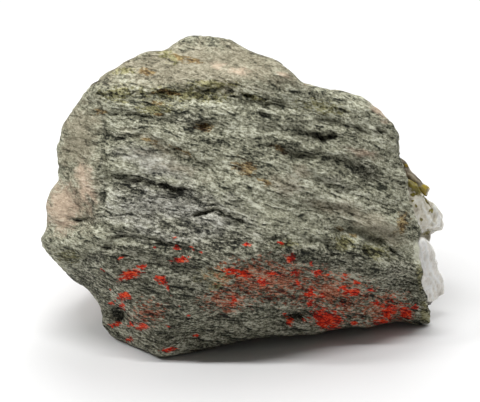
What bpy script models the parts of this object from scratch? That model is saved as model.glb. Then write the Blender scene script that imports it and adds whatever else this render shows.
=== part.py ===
"""A hand specimen of foliated grey-green rock, with milky crystals and an olive blade on its right flank.

The rock is cleaved from a block, the way a hammer breaks it: a prism with the outline seen from the
front is cut by one plane for each natural break face. Its relief is then worn in: beds that stand
proud or lie back, ledges where a bed has broken away, grooves and hollows. Each crystal is a group
of small prisms with flat growth faces, set in a socket of the rock.

Sizes are in millimetres until an object is finished, and metres from there on. A front-view point
is (x to the right, height up the sight plane). The sight plane leans back from upright by
SIGHT_LEAN, so it faces someone who looks down on the specimen from SIGHT_DISTANCE.
"""

import math
from collections import namedtuple

import bmesh
import bpy
from mathutils import Matrix, Vector, noise

METRES = 0.001

# How the specimen is looked at
SIGHT_LEAN = math.radians(28.0)
SIGHT_DISTANCE = 400.0
SIGHT_CENTRE_X = -1.0
SIGHT_CENTRE_HEIGHT = 39.75
RIGHT = Vector((1.0, 0.0, 0.0))
UP = Vector((0.0, math.sin(SIGHT_LEAN), math.cos(SIGHT_LEAN)))
NEAR = Vector((0.0, -math.cos(SIGHT_LEAN), math.sin(SIGHT_LEAN)))
DOWN = Vector((0.0, 0.0, -1.0))

# A break face or a growth face. Azimuth 0 looks to the front and 90 to the right, in degrees.
# Reach is how far the face lies from the heart of the block that it cuts.
Face = namedtuple("Face", "name azimuth elevation reach")

# A prism seen from the front as outline, from nearness near back to far, cut by faces around heart
Block = namedtuple("Block", "outline near far heart faces")

# A bed's broken edge: the surface drops by depth just under path and comes back over fall
Ledge = namedtuple("Ledge", "name path depth fall")

# A worn line, as deep as depth along path, and width across
Groove = namedtuple("Groove", "name path depth width")

# A round dip, or a swelling where depth is below zero
Hollow = namedtuple("Hollow", "name x height radius depth")

ROCK = Block(
    outline=(
        (-30.8, 1.5), (-26.4, -0.4), (-22.5, -1.3), (-19.5, -1.8), (-14.8, -1.2), (-11.6, 1.6),
        (-5.0, 3.9), (4.0, 5.5), (14.0, 6.4), (25.0, 7.9), (34.5, 8.8), (37.8, 9.9),
        (41.0, 9.2), (43.8, 7.8), (48.2, 7.3), (48.3, 10.2), (47.4, 12.8), (45.9, 17.2),
        (44.8, 20.6), (44.4, 24.2), (44.2, 28.0), (45.0, 31.0), (44.8, 33.0), (42.4, 36.6),
        (41.7, 39.7), (41.4, 42.8), (40.8, 47.0), (38.7, 50.4), (38.7, 55.4), (37.4, 58.5),
        (34.0, 61.8), (30.5, 64.6), (25.6, 66.5), (18.9, 67.7), (14.3, 69.2), (10.9, 72.3),
        (8.0, 74.9), (2.6, 76.8), (-3.6, 79.8), (-10.8, 80.9), (-14.8, 80.7), (-18.8, 77.0),
        (-24.5, 76.9), (-30.2, 73.9), (-36.4, 70.0), (-41.1, 65.5), (-44.8, 59.6),
        (-46.7, 54.4), (-45.8, 44.9), (-48.0, 42.8), (-49.3, 39.4), (-49.1, 32.9),
        (-51.1, 30.0), (-49.7, 27.7), (-43.9, 21.7), (-38.3, 16.8), (-35.4, 12.6),
        (-35.1, 7.7),
    ),
    near=34.0,
    far=-48.0,
    heart=Vector((0.0, 18.0, 35.0)),
    faces=(
        Face("upper face", -5.0, 35.0, 22.2),
        Face("upper face, middle", 11.0, 31.5, 21.8),
        Face("upper face, right", 28.0, 26.0, 22.2),
        Face("lower band", 12.5, -21.0, 24.3),
        Face("lower band, left", -6.0, -9.0, 26.8),
        Face("left facet", -48.5, 25.0, 37.9),
        Face("lower left", -34.5, -19.5, 36.6),
        Face("top", -20.0, 75.0, 33.9),
        Face("right shoulder", 100.0, 62.0, 36.0),
        Face("right flank", 102.0, 8.0, 41.6),
        Face("back", 176.0, 14.0, 28.0),
        Face("back, upper", -168.0, 46.0, 41.5),
        Face("back, left", -126.0, 6.0, 39.5),
        Face("back, right", 141.0, 10.0, 38.0),
        Face("back, foot", 168.0, -32.0, 38.5),
        Face("left underside", -98.0, -44.0, 47.5),
        Face("right underside", 132.0, -32.0, 49.0),
    ),
)

# Relief on the side that is seen from the front
LEDGES = (
    Ledge("top lip", ((-37, 66), (-26, 67), (-15, 67.6), (-4, 69)), 1.5, 3.0),
    Ledge("top lip, right", ((-5, 66.2), (0, 65.2), (5, 64), (10, 64.4)), 1.9, 2.4),
    Ledge("under the lip", ((-36, 62.4), (-25, 61.6), (-18, 60)), 0.8, 3.0),
    Ledge("pale rib", ((-31, 59), (-24, 56.4), (-17, 52.4), (-9, 49)), 0.8, 3.2),
    Ledge("long step", ((-34, 46.8), (-28, 45.2), (-19, 43.6), (-12, 41)), 1.5, 3.4),
    Ledge("lens", ((-14, 37.2), (-9, 37.6), (-5, 36.6), (-1.5, 34.8)), 1.8, 1.7),
    Ledge("fold crack", ((-32, 30.6), (-26, 30.8), (-21, 29.8), (-16, 28.6)), 1.2, 2.2),
    Ledge("eye", ((15, 57.6), (18.5, 56.4), (22.5, 56.2)), 1.7, 2.0),
    Ledge("eye, upper", ((20, 60.4), (26, 58.8), (31, 57)), 1.0, 2.2),
    Ledge("rust seam", ((6, 54), (13, 52.2), (18, 51)), 1.2, 2.2),
    Ledge("shaded dip", ((26, 50.6), (30.5, 47.4), (35, 44.8)), 1.0, 4.5),
    Ledge("chevron", ((18, 46.6), (23.5, 42.2), (28, 43.4)), 0.9, 2.4),
    Ledge("right seam", ((24.5, 33.2), (29, 32.6), (34, 30), (38.5, 26.6)), 1.3, 3.0),
    Ledge("middle seam", ((8, 31), (15, 31.6), (21, 29.6)), 0.9, 2.4),
    Ledge("left rim", ((-41.5, 25), (-38, 27), (-34.6, 28.4)), 1.0, 3.0),
    Ledge("slot", ((10.6, 11.6), (15, 12)), 1.9, 1.4),
    Ledge("foot seam", ((-32, 9.4), (-24, 7), (-14, 6.4)), 0.9, 2.4),
)
GROOVES = (
    Groove("left groove", ((-35.4, 60), (-36, 52), (-36, 44), (-35.4, 38), (-34, 33)), 1.2, 1.3),
    Groove("pink patch, rear", ((-46, 45), (-44.4, 41), (-43, 38), (-41.4, 34.6)), 0.9, 1.2),
    Groove("pink patch, foot", ((-49, 32.8), (-45, 33), (-41, 34.8)), 0.7, 1.2),
)
HOLLOWS = (
    Hollow("peg hole", -31.6, 10.6, 1.5, 2.4),
    Hollow("dark pit", -10.2, 58.2, 2.0, 1.4),
    Hollow("right scoop", 40.0, 19.6, 4.2, 1.4),
    Hollow("belly", 4.0, 18.0, 9.0, -0.8),
    Hollow("left knob", -47.0, 29.0, 4.5, -0.8),
    Hollow("foot knob", -20.0, 2.0, 4.0, -0.9),
)

# Bedding: the beds lie square to BEDDING_UP, and wander by BED_WANDER over BED_WANDER_SPAN
BEDDING_UP = Vector((0.25, 0.2, 0.95)).normalized()
BED_THICKNESS = 4.2
BED_WANDER = 2.2
BED_WANDER_SPAN = 16.0
BED_STEP = 0.55
BED_RUN = 17.0
BED_EDGE = 0.16

# Lumps of the broken surface, as (span, height)
LUMPS = ((19.0, 0.9), (7.0, 0.45), (3.2, 0.28))

# A corner this near to a break plane counts as on it
ON_PLANE = 1e-5

# Mesh of the worn block
GRAIN_STEP = 0.9
WEAR_ROUNDS = 5
LIP_SHARPNESS = 0.35
LEDGE_REACH = 2.5
LEDGE_END = 1.5
FRONT_FADE = 0.35
WALL_KEEP = 0.3
WALL_FADE = 0.45
WAVE_SPAN = 6.0
WAVE = 1.1
WAVES_APART = (Vector((0.0, 31.0, 0.0)), Vector((47.0, 0.0, 0.0)))
BROKEN_SPAN = 7.0
BROKEN = 1.3
BASE_FADE = 2.5
BASE_TRIM = 0.25
ROCK_TRIANGLES = 6400

# The crystals
LOWER_CRYSTAL = (
    Block(
        outline=(
            (43.4, 15.4), (45.2, 14.4), (46.65, 13.4), (48.7, 14.7), (49.4, 15.5), (50.3, 16.4),
            (50.8, 17.7), (50.5, 18.9), (49.3, 20.9), (48.35, 22.5), (48.1, 24.2), (47.75, 26.1),
            (47.1, 27.7), (46.2, 29.2), (45.2, 30.3), (43.6, 30.4), (42.2, 28.6), (42.6, 22.0),
        ),
        near=6.0,
        far=-14.0,
        heart=Vector((46.0, 17.0, 18.0)),
        faces=(
            Face("cleavage", 40.0, -4.0, 2.3),
            Face("cleavage, outer", 68.0, -3.0, 5.0),
            Face("cleavage, top", 20.0, 50.0, 9.8),
            Face("foot", 60.0, -50.0, 10.2),
            Face("rear", 165.0, 10.0, 2.3),
        ),
    ),
)
UPPER_CRYSTAL = (
    Block(
        outline=(
            (38.8, 32.0), (44.6, 31.2), (47.3, 31.7), (48.2, 32.3), (49.4, 32.6), (49.6, 34.0),
            (49.3, 35.2), (49.6, 36.1), (49.0, 37.2), (48.2, 38.1), (47.1, 39.3), (46.0, 39.7),
            (44.8, 40.9), (38.8, 43.0),
        ),
        near=1.5,
        far=-14.0,
        heart=Vector((45.0, 23.0, 32.0)),
        faces=(
            Face("rear growth, front", 26.0, 16.0, 4.1),
            Face("rear growth, side", 70.0, 6.0, 4.4),
            Face("rear growth, foot", 30.0, -42.0, 6.4),
            Face("rear growth, back", 146.0, 16.0, 5.2),
            Face("rear growth, shoulder", 96.0, 50.0, 6.4),
        ),
    ),
    Block(
        outline=((40.6, 25.4), (45.6, 26.0), (47.2, 27.7), (47.3, 31.9), (46.4, 33.6), (40.2, 34.6)),
        near=-10.4,
        far=-16.5,
        heart=Vector((43.5, 24.7, 20.9)),
        faces=(
            Face("stub, front", 30.0, 4.0, 3.4),
            Face("stub, side", 86.0, -6.0, 4.1),
            Face("stub, rear", 148.0, -8.0, 4.6),
        ),
    ),
    Block(
        outline=(
            (38.8, 31.6), (44.4, 31.5), (46.2, 33.2), (46.8, 35.4), (46.5, 37.5), (45.4, 39.4),
            (44.7, 41.0), (42.7, 43.2), (41.2, 44.5), (38.8, 45.7),
        ),
        near=3.0,
        far=-9.0,
        heart=Vector((43.5, 20.0, 33.0)),
        faces=(
            Face("front growth, face", 32.0, 18.0, 3.9),
            Face("front growth, foot", 24.0, -36.0, 5.6),
            Face("front growth, upper", 48.0, 46.0, 6.2),
        ),
    ),
)
OLIVE_BLADE = (
    Block(
        outline=(
            (36.6, 47.6), (39.0, 46.6), (41.4, 45.2), (42.9, 43.8), (45.0, 41.5), (46.2, 40.7),
            (46.8, 42.2), (46.0, 43.0), (44.6, 43.9), (44.0, 44.8), (42.8, 46.1), (41.8, 46.9),
            (41.0, 48.3), (40.3, 49.6), (39.1, 50.4), (36.6, 50.4),
        ),
        near=1.5,
        far=-10.0,
        heart=Vector((42.5, 24.0, 38.0)),
        faces=(
            Face("blade, front", 18.0, 6.0, 4.4),
            Face("blade, tip", 74.0, -12.0, 4.3),
            Face("blade, rear", 140.0, 14.0, 5.0),
        ),
    ),
)
CRYSTALS = {
    "lower_crystal": LOWER_CRYSTAL,
    "upper_crystal": UPPER_CRYSTAL,
    "olive_blade": OLIVE_BLADE,
}
SOCKET_AIR = 0.3
FLAT_ANGLE = math.radians(1.0)
WELD = 0.02

# Colour, roughness and metallic value of each piece
FINISHES = {
    "host_rock": ((0.21, 0.21, 0.16), 0.85, 0.0),
    "lower_crystal": ((0.66, 0.64, 0.58), 0.35, 0.0),
    "upper_crystal": ((0.60, 0.57, 0.48), 0.35, 0.0),
    "olive_blade": ((0.24, 0.18, 0.04), 0.40, 0.0),
}


def facing(azimuth, elevation):
    """The direction that a face with this azimuth and elevation, in degrees, looks towards."""
    turn = math.radians(azimuth)
    lift = math.radians(elevation)
    return Vector((
        math.sin(turn) * math.cos(lift),
        -math.cos(turn) * math.cos(lift),
        math.sin(lift),
    ))


def from_front(x, height, nearness):
    """The point seen at (x, height) from the front, nearness in front of the sight plane."""
    spread = 1.0 - nearness / SIGHT_DISTANCE
    across = SIGHT_CENTRE_X + (x - SIGHT_CENTRE_X) * spread
    up = SIGHT_CENTRE_HEIGHT + (height - SIGHT_CENTRE_HEIGHT) * spread
    return RIGHT * across + UP * up + NEAR * nearness


def to_front(point):
    """The (x, height) at which a point is seen from the front."""
    spread = 1.0 - point.dot(NEAR) / SIGHT_DISTANCE
    x = SIGHT_CENTRE_X + (point.dot(RIGHT) - SIGHT_CENTRE_X) / spread
    height = SIGHT_CENTRE_HEIGHT + (point.dot(UP) - SIGHT_CENTRE_HEIGHT) / spread
    return Vector((x, height))


def smooth_step(value, start, end):
    """0 before start, 1 after end, and an even turn between them."""
    share = min(1.0, max(0.0, (value - start) / (end - start)))
    return share * share * (3.0 - 2.0 * share)


def sight_prism(outline, near, far):
    """A closed prism that has this outline when it is seen from the front."""
    shape = bmesh.new()
    front, rear = (
        [shape.verts.new(from_front(x, height, nearness)) for x, height in outline]
        for nearness in (near, far)
    )
    shape.faces.new(front)
    shape.faces.new(reversed(rear))
    for i, corner in enumerate(front):
        shape.faces.new((front[i - 1], rear[i - 1], rear[i], corner))
    bmesh.ops.triangulate(shape, faces=shape.faces)
    return shape


def cleave(shape, point, direction):
    """Breaks off what lies beyond a plane, and closes the break."""
    everything = list(shape.verts) + list(shape.edges) + list(shape.faces)
    cut = bmesh.ops.bisect_plane(
        shape, geom=everything, plane_co=point, plane_no=direction, clear_outer=True, dist=ON_PLANE
    )
    rim = [piece for piece in cut["geom_cut"] if isinstance(piece, bmesh.types.BMEdge)]
    if rim:
        bmesh.ops.triangle_fill(shape, edges=rim, use_beauty=True, normal=direction)


def cleaved(block):
    """The prism of a block, broken along all its faces."""
    shape = sight_prism(block.outline, block.near, block.far)
    for face in block.faces:
        direction = facing(face.azimuth, face.elevation)
        cleave(shape, block.heart + direction * face.reach, direction)
    return shape


def object_from(shape, name):
    """A Blender object that holds the shape as triangles."""
    bmesh.ops.triangulate(shape, faces=shape.faces)
    bmesh.ops.recalc_face_normals(shape, faces=shape.faces)
    mesh = bpy.data.meshes.new(name)
    shape.to_mesh(mesh)
    shape.free()
    made = bpy.data.objects.new(name, mesh)
    bpy.context.scene.collection.objects.link(made)
    return made


def apply_modifiers(made):
    """Replaces an object's mesh with what its modifiers make of it."""
    bpy.context.view_layer.update()
    graph = bpy.context.evaluated_depsgraph_get()
    mesh = bpy.data.meshes.new_from_object(made.evaluated_get(graph))
    made.modifiers.clear()
    made.data = mesh


def boolean(made, other, operation):
    """Joins another object to this one or cuts it away, and removes the other."""
    modifier = made.modifiers.new(operation.lower(), "BOOLEAN")
    modifier.operation = operation
    modifier.object = other
    modifier.solver = "EXACT"
    apply_modifiers(made)
    bpy.data.objects.remove(other)


def regrain(made):
    """Gives the block an even mesh of small faces, and wears its edges round."""
    remesh = made.modifiers.new("grain", "REMESH")
    remesh.mode = "VOXEL"
    remesh.voxel_size = GRAIN_STEP
    wear = made.modifiers.new("wear", "SMOOTH")
    wear.factor = 0.5
    wear.iterations = WEAR_ROUNDS
    apply_modifiers(made)


def beside(seen, path):
    """How far a front-view point lies below a path, and how far from it, both in millimetres."""
    nearest = None
    for start, end in zip(path, path[1:]):
        start, end = Vector(start), Vector(end)
        run = end - start
        share = min(1.0, max(0.0, (seen - start).dot(run) / run.length_squared))
        offset = seen - (start + run * share)
        if nearest is None or offset.length < nearest[1]:
            below = run.normalized().cross(offset) * -1.0
            nearest = (below, offset.length)
    return nearest


def front_relief(point):
    """How far the ledges, grooves and hollows of the front set the surface back at a point."""
    wave = [noise.noise(point / WAVE_SPAN + apart) * WAVE for apart in WAVES_APART]
    seen = to_front(point) + Vector(wave)
    broken = 1.0 + noise.noise(point / BROKEN_SPAN) * BROKEN
    drop = 0.0
    for ledge in LEDGES:
        below, away = beside(seen, ledge.path)
        if away < ledge.fall * LEDGE_REACH:
            past_end = max(0.0, away - abs(below))
            edge = smooth_step(below, -LIP_SHARPNESS, LIP_SHARPNESS)
            ends = math.exp(-((past_end / LEDGE_END) ** 2))
            drop += ledge.depth * broken * edge * ends * math.exp(-((below / ledge.fall) ** 2))
    for groove in GROOVES:
        away = beside(seen, groove.path)[1]
        drop += groove.depth * math.exp(-((away / groove.width) ** 2))
    for hollow in HOLLOWS:
        away = (seen - Vector((hollow.x, hollow.height))).length
        drop += hollow.depth * math.exp(-((away / hollow.radius) ** 2))
    return drop


def bed_relief(point):
    """How far the bed at a point stands out. Each bed has a height of its own that drifts along it."""
    wander = noise.noise(point / BED_WANDER_SPAN) * BED_WANDER
    layer = (point.dot(BEDDING_UP) + wander) / BED_THICKNESS
    bed = math.floor(layer)
    run = point / BED_RUN

    def stand(index):
        return noise.noise(run + Vector((index * 5.7, index * 3.1, index * 9.3)))

    turn = smooth_step(layer - bed, 1.0 - BED_EDGE, 1.0)
    return BED_STEP * 2.0 * (stand(bed) * (1.0 - turn) + stand(bed + 1) * turn)


def lump_relief(point):
    """How far the lumps of the broken surface stand out at a point."""
    return sum(noise.noise(point / span + Vector((span, 0.0, 0.0))) * height for span, height in LUMPS)


def outward(mesh):
    """The way out of the surface at every vertex, as a sum over its faces in a fixed order."""
    ways = [Vector() for _ in mesh.vertices]
    for face in mesh.polygons:
        corners = [mesh.vertices[i].co for i in face.vertices]
        way = (corners[2] - corners[0]).cross(corners[-1] - corners[1])
        for i in face.vertices:
            ways[i] += way
    return [way.normalized() for way in ways]


def carve_relief(rock):
    """Moves the rock's surface in and out. Its base stays flat."""
    moved = []
    for vertex, way in zip(rock.data.vertices, outward(rock.data)):
        point = vertex.co
        stand = bed_relief(point) + lump_relief(point)
        towards = way.dot(NEAR)
        stand *= WALL_KEEP + (1.0 - WALL_KEEP) * smooth_step(abs(towards), 0.0, WALL_FADE)
        if towards > 0.0:
            stand -= front_relief(point) * smooth_step(towards, 0.0, FRONT_FADE)
        grip = smooth_step(point.z, 0.0, BASE_FADE)
        moved.append(point + way * stand * grip)
    for vertex, place in zip(rock.data.vertices, moved):
        vertex.co = place


def coarsen(made, triangles):
    """Leaves about this many triangles, with the most where the surface bends."""
    made.data.calc_loop_triangles()
    decimate = made.modifiers.new("facets", "DECIMATE")
    decimate.ratio = triangles / len(made.data.loop_triangles)
    apply_modifiers(made)


def trim_base(made):
    """Cuts the rock's foot flat, where it rests."""
    shape = bmesh.new()
    shape.from_mesh(made.data)
    cleave(shape, DOWN * -BASE_TRIM, DOWN)
    bmesh.ops.triangulate(shape, faces=shape.faces)
    shape.to_mesh(made.data)
    shape.free()


def make_rock():
    """The host rock, worn and in relief."""
    shape = cleaved(ROCK)
    cleave(shape, Vector(), DOWN)
    rock = object_from(shape, "host_rock")
    regrain(rock)
    carve_relief(rock)
    coarsen(rock, ROCK_TRIANGLES)
    trim_base(rock)
    return rock


def make_crystal(name, blocks):
    """A crystal group: its first block, with the others grown into it."""
    crystal = object_from(cleaved(blocks[0]), name)
    for i, block in enumerate(blocks[1:]):
        boolean(crystal, object_from(cleaved(block), f"{name}_{i}"), "UNION")
    flatten(crystal)
    return crystal


def flatten(crystal):
    """Leaves each flat face of a crystal with as few triangles as its corners need."""
    shape = bmesh.new()
    shape.from_mesh(crystal.data)
    bmesh.ops.remove_doubles(shape, verts=shape.verts, dist=WELD)
    bmesh.ops.dissolve_limit(shape, angle_limit=FLAT_ANGLE, verts=shape.verts, edges=shape.edges)
    bmesh.ops.triangulate(shape, faces=shape.faces)
    shape.to_mesh(crystal.data)
    shape.free()


def widened(outline, air):
    """An outline, anticlockwise, with every corner moved out by air."""
    corners = [Vector(corner) for corner in outline]
    wide = []
    for i, corner in enumerate(corners):
        along = (corner - corners[i - 1]).normalized()
        along += (corners[(i + 1) % len(corners)] - corner).normalized()
        wide.append(corner + Vector((along.y, -along.x)).normalized() * air)
    return wide


def cut_socket(rock, blocks):
    """Makes room in the rock for a crystal's root, with a little air around it."""
    for block in blocks:
        room = cleaved(Block(
            outline=widened(block.outline, SOCKET_AIR),
            near=block.near + SOCKET_AIR,
            far=block.far - SOCKET_AIR,
            heart=block.heart,
            faces=[face._replace(reach=face.reach + SOCKET_AIR) for face in block.faces],
        ))
        boolean(rock, object_from(room, "socket"), "DIFFERENCE")


def finish(made):
    """Gives a piece its material."""
    colour, roughness, metallic = FINISHES[made.name]
    material = bpy.data.materials.new(made.name)
    material.use_nodes = True
    surface = material.node_tree.nodes["Principled BSDF"]
    surface.inputs["Base Color"].default_value = (*colour, 1.0)
    surface.inputs["Roughness"].default_value = roughness
    surface.inputs["Metallic"].default_value = metallic
    made.data.materials.clear()
    made.data.materials.append(material)


def set_down(pieces):
    """Stands the specimen on the ground, over the origin, and turns its sizes into metres."""
    corners = [vertex.co for piece in pieces for vertex in piece.data.vertices]
    low = Vector(map(min, *corners))
    high = Vector(map(max, *corners))
    foot = Vector(((low.x + high.x) / 2.0, (low.y + high.y) / 2.0, low.z))
    for piece in pieces:
        piece.data.transform(Matrix.Scale(METRES, 4) @ Matrix.Translation(-foot))


def main():
    """Builds the specimen."""
    for old in list(bpy.data.objects):
        bpy.data.objects.remove(old)
    pieces = [make_rock()]
    for name, blocks in CRYSTALS.items():
        cut_socket(pieces[0], blocks)
        pieces.append(make_crystal(name, blocks))
    for piece in pieces:
        finish(piece)
    set_down(pieces)


main()
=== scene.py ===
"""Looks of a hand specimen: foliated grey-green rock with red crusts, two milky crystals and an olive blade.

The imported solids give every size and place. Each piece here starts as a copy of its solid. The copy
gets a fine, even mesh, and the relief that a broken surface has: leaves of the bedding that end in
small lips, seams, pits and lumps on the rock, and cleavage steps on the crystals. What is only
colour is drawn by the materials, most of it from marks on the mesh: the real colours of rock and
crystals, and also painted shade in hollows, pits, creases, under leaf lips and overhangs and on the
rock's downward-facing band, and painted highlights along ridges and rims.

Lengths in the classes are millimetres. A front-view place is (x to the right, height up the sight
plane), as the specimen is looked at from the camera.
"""

from __future__ import annotations

import logging
import math
from collections.abc import Iterator
from contextlib import contextmanager
from dataclasses import dataclass, field
from enum import Enum
from itertools import product

import bmesh
import bpy
import numpy as np
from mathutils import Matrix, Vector

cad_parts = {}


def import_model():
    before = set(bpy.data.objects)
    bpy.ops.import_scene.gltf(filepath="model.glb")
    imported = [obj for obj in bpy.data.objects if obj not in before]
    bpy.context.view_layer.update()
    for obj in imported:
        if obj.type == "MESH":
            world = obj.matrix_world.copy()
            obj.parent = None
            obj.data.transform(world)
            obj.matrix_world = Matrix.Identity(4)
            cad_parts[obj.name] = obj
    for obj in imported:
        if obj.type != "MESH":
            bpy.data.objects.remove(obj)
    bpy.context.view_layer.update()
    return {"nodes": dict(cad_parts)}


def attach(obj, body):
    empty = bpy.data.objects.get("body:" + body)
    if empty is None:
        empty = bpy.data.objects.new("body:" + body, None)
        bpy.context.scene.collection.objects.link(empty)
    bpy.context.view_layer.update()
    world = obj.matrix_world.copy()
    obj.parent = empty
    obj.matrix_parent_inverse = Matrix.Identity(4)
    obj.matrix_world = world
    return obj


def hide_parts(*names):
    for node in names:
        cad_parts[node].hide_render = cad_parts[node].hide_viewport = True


log = logging.getLogger("specimen")

MM = 0.001
SAME_CORNER = 0.002

Path = tuple[tuple[float, float], ...]
Colour = tuple[float, float, float]
Socket = bpy.types.NodeSocket


# ===== Where the specimen is seen from =====


@dataclass(frozen=True)
class Sight:
    """The line of sight from the camera to the specimen, which stands over the origin."""

    lean: float = 28.0
    distance: float = 400.0
    centre_x: float = -1.0
    centre_height: float = 39.75
    foot: tuple[float, float, float] = (0.385, 22.509, 0.25)
    lens: float = 120.0
    film: float = 36.0

    @property
    def right(self) -> Vector:
        """The way across the view."""
        return Vector((1.0, 0.0, 0.0))

    @property
    def up(self) -> Vector:
        """The way up the view."""
        return Vector((0.0, math.sin(math.radians(self.lean)), math.cos(math.radians(self.lean))))

    @property
    def near(self) -> Vector:
        """The way from the specimen to the camera."""
        return Vector((0.0, -math.cos(math.radians(self.lean)), math.sin(math.radians(self.lean))))

    @property
    def target(self) -> Vector:
        """The point that the camera looks at, in millimetres."""
        return self.right * self.centre_x + self.up * self.centre_height - Vector(self.foot)

    def seen(self, points: np.ndarray) -> np.ndarray:
        """Where points are seen from the front.

        Args:
            points: Places on the specimen, one to a row.

        Returns:
            One row of (x, height) for each point.
        """
        places = points + np.array(self.foot)
        spread = 1.0 - places @ np.array(self.near) / self.distance
        x = self.centre_x + (places @ np.array(self.right) - self.centre_x) / spread
        height = self.centre_height + (places @ np.array(self.up) - self.centre_height) / spread
        return np.stack((x, height), axis=1)


SIGHT = Sight()


# ===== Fields over the surface =====


def smooth_step(value: np.ndarray, start: float, end: float) -> np.ndarray:
    """An even turn from 0 at start to 1 at end.

    Args:
        value: The numbers to turn.
        start: Where the result leaves 0.
        end: Where it reaches 1.

    Returns:
        Numbers from 0 to 1.
    """
    share = np.clip((value - start) / (end - start), 0.0, 1.0)
    return share * share * (3.0 - 2.0 * share)


def ripple(points: np.ndarray, seed: int) -> np.ndarray:
    """Smooth irregular waves with a span of about one unit, from about -1 to 1.

    Args:
        points: Places, one to a row.
        seed: Picks one of many such fields.

    Returns:
        One number for each point.
    """
    scatter, turns, bits = (73856093, 19349663, 83492791, 40503), (1274126177, 668265263), 0x7FFFFFFF
    cell = np.floor(points).astype(np.int64)
    part = points - cell
    fade = part * part * part * (part * (part * 6.0 - 15.0) + 10.0)
    total = np.zeros(len(points))
    for corner in product((0, 1), repeat=3):
        at = cell + np.array(corner)
        key = at[:, 0] * scatter[0] ^ at[:, 1] * scatter[1] ^ at[:, 2] * scatter[2] ^ (seed + 1) * scatter[3]
        key = (key ^ (key >> 13)) * turns[0] & bits
        key = (key ^ (key >> 15)) * turns[1] & bits
        turn = (key & 0xFFFF) / 65536.0 * math.tau
        lift = ((key >> 16) & 0x3FFF) / 8192.0 - 1.0
        level = np.sqrt(np.maximum(0.0, 1.0 - lift * lift))
        off = part - np.array(corner)
        slope = off[:, 0] * np.cos(turn) * level + off[:, 1] * np.sin(turn) * level + off[:, 2] * lift
        weight = np.ones(len(points))
        for axis, far in enumerate(corner):
            weight *= fade[:, axis] if far else 1.0 - fade[:, axis]
        total += weight * slope
    return total * 1.6


def crumble(points: np.ndarray, seed: int, layers: int = 3) -> np.ndarray:
    """Ripples with smaller ripples on them, from about -1 to 1.

    Args:
        points: Places, one to a row.
        seed: Picks one of many such fields.
        layers: How many sizes of ripple there are, each half of the one before.

    Returns:
        One number for each point.
    """
    return sum(ripple(points * 2.0**i, seed + 17 * i) * 0.5**i for i in range(layers))


def shake(points: np.ndarray, seeds: tuple[int, int]) -> np.ndarray:
    """An irregular shift across and up the view for each point, from about -1 to 1."""
    return np.stack([crumble(points, seed, 2) for seed in seeds], axis=1)


@dataclass(frozen=True)
class Bedding:
    """The leaves of the rock: how they lie, and how they dip more towards the right."""

    across: tuple[float, float, float] = (0.26, 0.2, 0.95)
    bow: float = 0.0018

    def level(self, points: np.ndarray) -> np.ndarray:
        """How high in the bedding each point lies."""
        return points @ np.array(self.across) + self.bow * points[:, 0] ** 2


BEDDING = Bedding()


@dataclass(frozen=True)
class Leaves:
    """Broken leaves of one thickness. Each stands out or lies back, and ends in a small lip."""

    thickness: float
    height: float
    run: float
    wander: float
    edge: float
    seed: int

    def stand(self, points: np.ndarray) -> np.ndarray:
        """How far the leaves stand out at each point.

        Args:
            points: Places on the surface, one to a row.

        Returns:
            A height for each point.
        """
        drift = crumble(points / self.run, self.seed) * self.wander
        layer = BEDDING.level(points) / self.thickness + drift
        leaf = np.floor(layer)
        turn = smooth_step(layer - leaf, 1.0 - self.edge, 1.0)
        here, above = (self.one(points, leaf + i) for i in (0, 1))
        return self.height * (here * (1.0 - turn) + above * turn)

    def one(self, points: np.ndarray, leaf: np.ndarray) -> np.ndarray:
        """How far the given leaf stands out at each point, from about -1 to 1."""
        apart = np.stack((leaf * 5.71, leaf * 3.13, leaf * 9.37), axis=1)
        return ripple(points / self.run + apart, self.seed + 5)


@dataclass(frozen=True)
class Seam:
    """A broken edge along a path: the surface drops just under it and comes back over fall."""

    path: Path
    depth: float
    fall: float
    lip: float = 0.16
    end_fall: float = 1.4

    def drop(self, seen: np.ndarray, broken: np.ndarray) -> np.ndarray:
        """How far the seam sets the surface back.

        Args:
            seen: Front-view places, one to a row.
            broken: How strongly the seam is broken out at each place, about 1.

        Returns:
            A depth for each place.
        """
        below, away = beside(seen, self.path)
        past_end = np.maximum(0.0, away - np.abs(below))
        edge = smooth_step(below, -self.lip, self.lip)
        fade = np.exp(-((past_end / self.end_fall) ** 2) - (below / self.fall) ** 2)
        return self.depth * broken * edge * fade


def beside(seen: np.ndarray, path: Path) -> tuple[np.ndarray, np.ndarray]:
    """How front-view places lie to a path.

    Args:
        seen: Front-view places, one to a row.
        path: The path's points.

    Returns:
        How far below the path each place lies, and how far from it.
    """
    best_below = np.zeros(len(seen))
    best_away = np.full(len(seen), np.inf)
    for start, end in zip(path, path[1:]):
        run = np.array(end) - np.array(start)
        offset = seen - np.array(start)
        share = np.clip(offset @ run / (run @ run), 0.0, 1.0)
        offset = offset - share[:, None] * run
        away = np.hypot(offset[:, 0], offset[:, 1])
        below = (run[1] * offset[:, 0] - run[0] * offset[:, 1]) / math.hypot(*run)
        closer = away < best_away
        best_below = np.where(closer, below, best_below)
        best_away = np.where(closer, away, best_away)
    return best_below, best_away


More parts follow.
